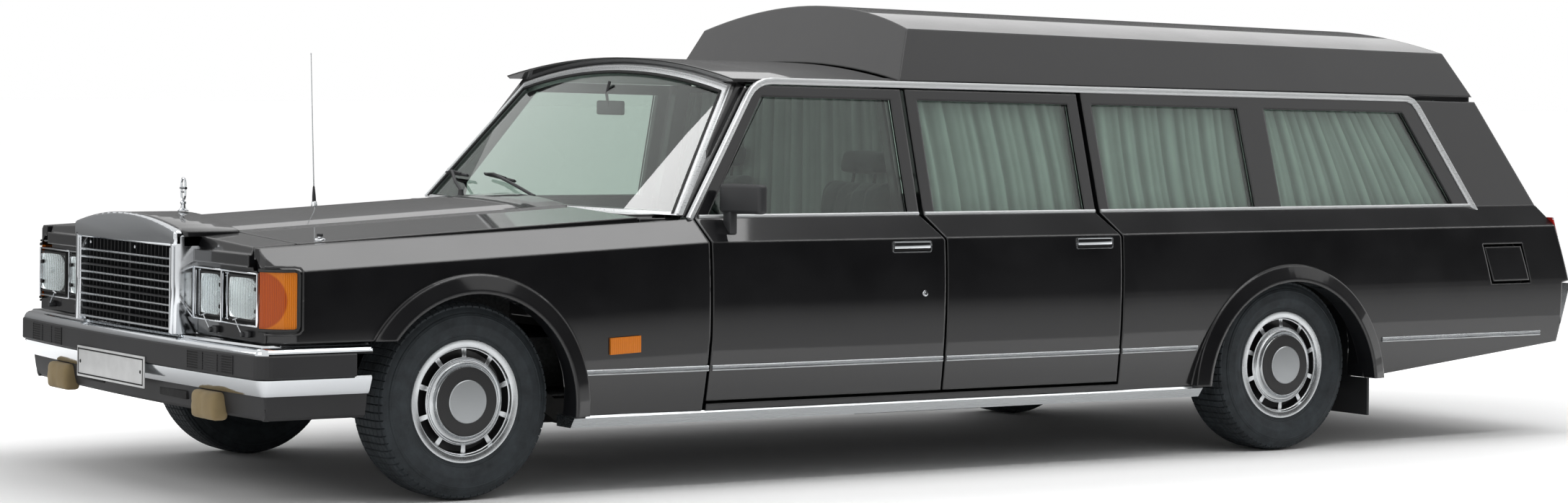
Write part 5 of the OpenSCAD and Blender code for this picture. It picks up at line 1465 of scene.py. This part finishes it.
aerial_foot = Vector((1.932, -0.917, 0.960))
lean = Matrix.Rotation(math.radians(2.0), 4, "Y") @ Matrix.Rotation(math.radians(-90), 4, "Y")
lean = Matrix.Translation(aerial_foot) @ lean
bright, dark = bmesh.new(), bmesh.new()
turned(bright, [(0.014, 0.0), (0.014, 0.006), (0.012, 0.012), (0.011, 0.024), (0.008, 0.028)], lean, steps=18)
turned(dark, [(0.0085, 0.026), (0.0075, 0.050), (0.0045, 0.085), (0.003, 0.090)], lean, steps=14)
turned(
    bright,
    [(0.0026, 0.086), (0.0022, 0.300), (0.0016, 0.620), (0.0024, 0.622), (0.0024, 0.627), (0.0003, 0.628)],
    lean, steps=10
)
piece("aerial_whip", bright, "body", brushed_steel, stands_for=("antenna",), slot="chrome")
piece("aerial_foot", dark, "body", grained_plastic, slot="dark_trim")
print("fittings on the bonnet made")

# %% [markdown]
# ## Corner lamp gasket
# The amber corner lamp sits in a black rubber gasket with rounded corners, which shows as a dark
# line between the lamp and the wing.

# %% Corner lamp gasket
corner_line = [(3.1160, 0.9360), (3.1055, 0.9590), (3.0870, 0.9810), (3.0545, 1.0052), (3.0200, 1.0145)]
for gasket_name, finish, slot_name, out, thick in (
    ("corner_lamp_gaskets", seal_rubber, "dark_trim", 0.0, 0.0060),
    ("corner_lamp_lips", black_enamel, "body_paint", 0.013, 0.0045)
):
    bm = bmesh.new()
    near, low, high = 0.0014 * (out > 0), 0.6270 - out, 0.8320 + out
    start = corner_line[1:] if out else corner_line
    side_line = [
        (3.0085 - 0.6 * out, 1.0163 + near, high - 0.0030), (3.0030 - out, 1.0175 + near, high - 0.0140),
        (3.0030 - out, 1.0175 + near, 0.7300), (3.0030 - out, 1.0175 + near, low + 0.0160),
        (3.0085 - 0.6 * out, 1.0163 + near, low + 0.0040)
    ]
    rod(
        bm, [(x, y, high) for x, y in start] + side_line + [(x, y, low) for x, y in reversed(start)], thick,
        8
    )
    both_sides(bm)
    piece(gasket_name, bm, "body", finish, slot=slot_name)
print("gaskets made")

# %% [markdown]
# ## Tail
# The photograph doesn't show the back, so it is kept plain and true to the type: upright red lamps
# with bright dividers, a bar handle and a lock on the tailgate, and a blank number plate.

# %% Tail
def gate_x(z):
    """The tailgate's outer face under the belt."""
    return -3.206 + (z - 0.667) * (0.111 / 0.321) + 0.004


bm = bmesh.new()
low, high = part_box("tail_lamps")
for i in range(4):
    z = low.z + (high.z - low.z) * i / 3
    z = min(max(z, low.z + 0.005), high.z - 0.005)
    x = -3.2060 + (z - 0.667) * (0.111 / 0.321) - 0.0115
    block(bm, (x, high.y - 0.112, z - 0.004), (x + 0.010, high.y + 0.001, z + 0.004), 0.002)
both_sides(bm)
piece("tail_lamp_dividers", bm, "body", chrome_plate, slot="chrome")
bm = bmesh.new()
for y in (-0.11, 0.11):
    block(bm, (gate_x(0.90) - 0.030, y - 0.014, 0.886), (gate_x(0.90) + 0.004, y + 0.014, 0.914), 0.005)
rod(bm, [(gate_x(0.90) - 0.026, y, 0.900) for y in spread(-0.15, 0.15, 9)], 0.0085, 12)
turned(bm, [(0.014, 0.0), (0.013, 0.005), (0.006, 0.006), (0.0005, 0.006)],
       Matrix.Translation((gate_x(0.845) + 0.001, 0.0, 0.845)) @ Matrix.Rotation(math.pi, 4, "Z"), steps=18)
piece("tailgate_handle", bm, "tailgate", chrome_plate, slot="chrome")
plate_x = gate_x(0.69) - 0.004
number_plate("number_plate.rear", "tailgate", (-0.26, 0.690), (0.26, 0.802), (plate_x + 0.004, plate_x))
print("tail fitted")

# %% [markdown]
# ## Floor and light
# A studio for a black car is mostly white: the paint has almost no colour of its own and shows what
# stands around it. The floor is pale, and glows a little further out, so that it meets the white sky
# without an edge. Dark cards along both sides, which only reflections see, keep the doors black, as a
# photographer's black flags do. They run out over the floor in a soft ramp, and that ramp is
# the slow change from black to dark grey on the doors.

# %% Floor and light
def stage_piece(name, bm, finish):
    thing = bpy.data.objects.new(name, bpy.data.meshes.new(name))
    bm.to_mesh(thing.data)
    bm.free()
    thing.data.materials.append(finish)
    bpy.context.scene.collection.objects.link(thing)
    return thing


floor_paint, tree, shader, place = new_finish(
    "floor_paint", Base_Color=linear("#f4f4f4"), Roughness=0.8, Emission_Color=linear("#ffffff")
)
oval = add(tree, "ShaderNodeVectorMath", {0: place, 1: (0.42, 1.0, 1.0)}, operation="MULTIPLY")
far = add(tree, "ShaderNodeVectorMath", {0: oval.outputs["Vector"]}, operation="LENGTH")
glow = add(
    tree, "ShaderNodeMapRange",
    {"Value": far.outputs["Value"], "From Min": 1.4, "From Max": 2.8, "To Min": 0.0, "To Max": 0.55},
    interpolation_type="SMOOTHSTEP"
)
rays = add(tree, "ShaderNodeLightPath").outputs
seen = add(tree, "ShaderNodeMath", {0: rays["Is Camera Ray"], 1: rays["Is Glossy Ray"]}, operation="MAXIMUM")
seen = add(tree, "ShaderNodeMath", {0: seen.outputs[0], 1: rays["Is Transmission Ray"]}, operation="MAXIMUM")
glow = add(tree, "ShaderNodeMath", {0: glow.outputs[0], 1: seen.outputs[0]}, operation="MULTIPLY")
tree.links.new(glow.outputs[0], shader.inputs["Emission Strength"])
bm = bmesh.new()
bmesh.ops.create_grid(bm, x_segments=2, y_segments=2, size=150.0)
stage_piece("studio_floor", bm, floor_paint)

card_felt, tree, shader, place = new_finish(
    "card_felt", Base_Color=linear("#000000"), Roughness=1.0, Specular_IOR_Level=0.0,
    Emission_Color=linear("#ffffff")
)
out = add(tree, "ShaderNodeSeparateXYZ", {"Vector": place})
away = add(tree, "ShaderNodeMath", {0: out.outputs["Y"]}, operation="ABSOLUTE")
ramp = add(
    tree, "ShaderNodeMapRange",
    {"Value": away.outputs[0], "From Min": 3.0, "From Max": 8.5, "To Min": 0.9, "To Max": 0.02},
    interpolation_type="SMOOTHSTEP"
)
tree.links.new(ramp.outputs[0], shader.inputs["Emission Strength"])
grey_felt, tree, shader, place = new_finish(
    "grey_felt", Base_Color=linear("#000000"), Roughness=1.0, Specular_IOR_Level=0.0,
    Emission_Color=linear("#ffffff")
)
up = add(tree, "ShaderNodeSeparateXYZ", {"Vector": place})
paler = add(
    tree, "ShaderNodeMapRange", {"Value": up.outputs["Z"], "From Max": 4.4, "To Min": 0.22, "To Max": 0.45}
)
along = add(
    tree, "ShaderNodeMapRange",
    {"Value": up.outputs["X"], "From Min": -8.0, "From Max": 6.0, "To Min": 0.3, "To Max": 1.0}
)
grey_level = add(tree, "ShaderNodeMath", {0: paler.outputs[0], 1: along.outputs[0]}, operation="MULTIPLY")
tree.links.new(grey_level.outputs[0], shader.inputs["Emission Strength"])
for side_name, side in SIDES:
    bm = bmesh.new()
    front_end = 2.0 if side > 0 else 13.0
    corners = [
        [bm.verts.new((x, side * y, z)) for y, z in ((3.0, 0.012), (9.0, 0.012), (9.0, 4.4))]
        for x in (-22.0, front_end)
    ]
    for k in range(2):
        bm.faces.new((corners[0][k], corners[0][k + 1], corners[1][k + 1], corners[1][k]))
    card = stage_piece(f"dark_card.{side_name}", bm, card_felt if side > 0 else grey_felt)
    card.visible_camera = card.visible_diffuse = card.visible_transmission = card.visible_shadow = False

bm = bmesh.new()
bm.faces.new([bm.verts.new((x, y, 8.2)) for x, y in ((-18.0, -5.0), (-3.1, -5.0), (-3.1, 3.4), (-18.0, 3.4))])
card = stage_piece("dark_card.overhead", bm, grey_felt)
card.visible_camera = card.visible_diffuse = card.visible_transmission = card.visible_shadow = False

bright_silk, tree, shader, place = new_finish(
    "bright_silk", Base_Color=linear("#000000"), Roughness=1.0, Emission_Color=linear("#ffffff"),
    Emission_Strength=9.0
)
bm = bmesh.new()          # its mirror image is the pale triangle at the near edge of the windscreen
bm.faces.new(
    [
        bm.verts.new(p)
        for p in (
            (3.258, -5.482, 7.625), (3.856, -5.905, 6.711), (4.474, -4.590, 7.316), (3.489, -4.988, 7.855)
        )
    ]
)
card = stage_piece("bright_card", bm, bright_silk)
card.visible_camera = card.visible_diffuse = card.visible_transmission = card.visible_shadow = False

world = bpy.data.worlds.new("studio_sky")
bpy.context.scene.world = world
world.use_nodes = True
tree = world.node_tree
tree.nodes.clear()
rays = add(tree, "ShaderNodeLightPath").outputs
seen = add(tree, "ShaderNodeMath", {0: rays["Is Camera Ray"], 1: rays["Is Glossy Ray"]}, operation="MAXIMUM")
seen = add(tree, "ShaderNodeMath", {0: seen.outputs[0], 1: rays["Is Transmission Ray"]}, operation="MAXIMUM")
level = add(tree, "ShaderNodeMapRange", {"Value": seen.outputs[0], "To Min": 0.45, "To Max": 1.0})
sky = add(tree, "ShaderNodeBackground", {"Color": linear("#ffffff"), "Strength": level.outputs[0]})
add(tree, "ShaderNodeOutputWorld", {"Surface": sky.outputs[0]})

for lamp_name, spot, size, power in (
        ("overhead_fill", (-0.5, 0.6, 9.0), (15.0, 9.0), 280.0),
        ("overhead_softbox", (-0.6, 0.9, 7.0), (5.0, 2.8), 160.0),
        ("side_softbox", (-4.5, 4.7, 7.5), (16.0, 1.0), 230.0),
        ("front_softbox", (9.0, 2.0, 5.0), (4.0, 4.0), 110.0),
        ("right_softbox", (9.5, -7.5, 4.6), (2.0, 2.0), 60.0)):
    lamp = bpy.data.objects.new(lamp_name, bpy.data.lights.new(lamp_name, "AREA"))
    lamp.data.shape = "RECTANGLE"
    lamp.data.size, lamp.data.size_y = size
    lamp.data.energy = power
    lamp.location = spot
    if lamp_name == "side_softbox":
        lamp.rotation_euler = (math.radians(-30.0), 0.0, 0.0)
    elif "overhead" not in lamp_name:
        lamp.rotation_euler = (Vector((0.0, 0.0, 0.6)) - Vector(spot)).to_track_quat("-Z", "Y").to_euler()
    lamp.visible_glossy = lamp_name != "overhead_fill"
    bpy.context.scene.collection.objects.link(lamp)
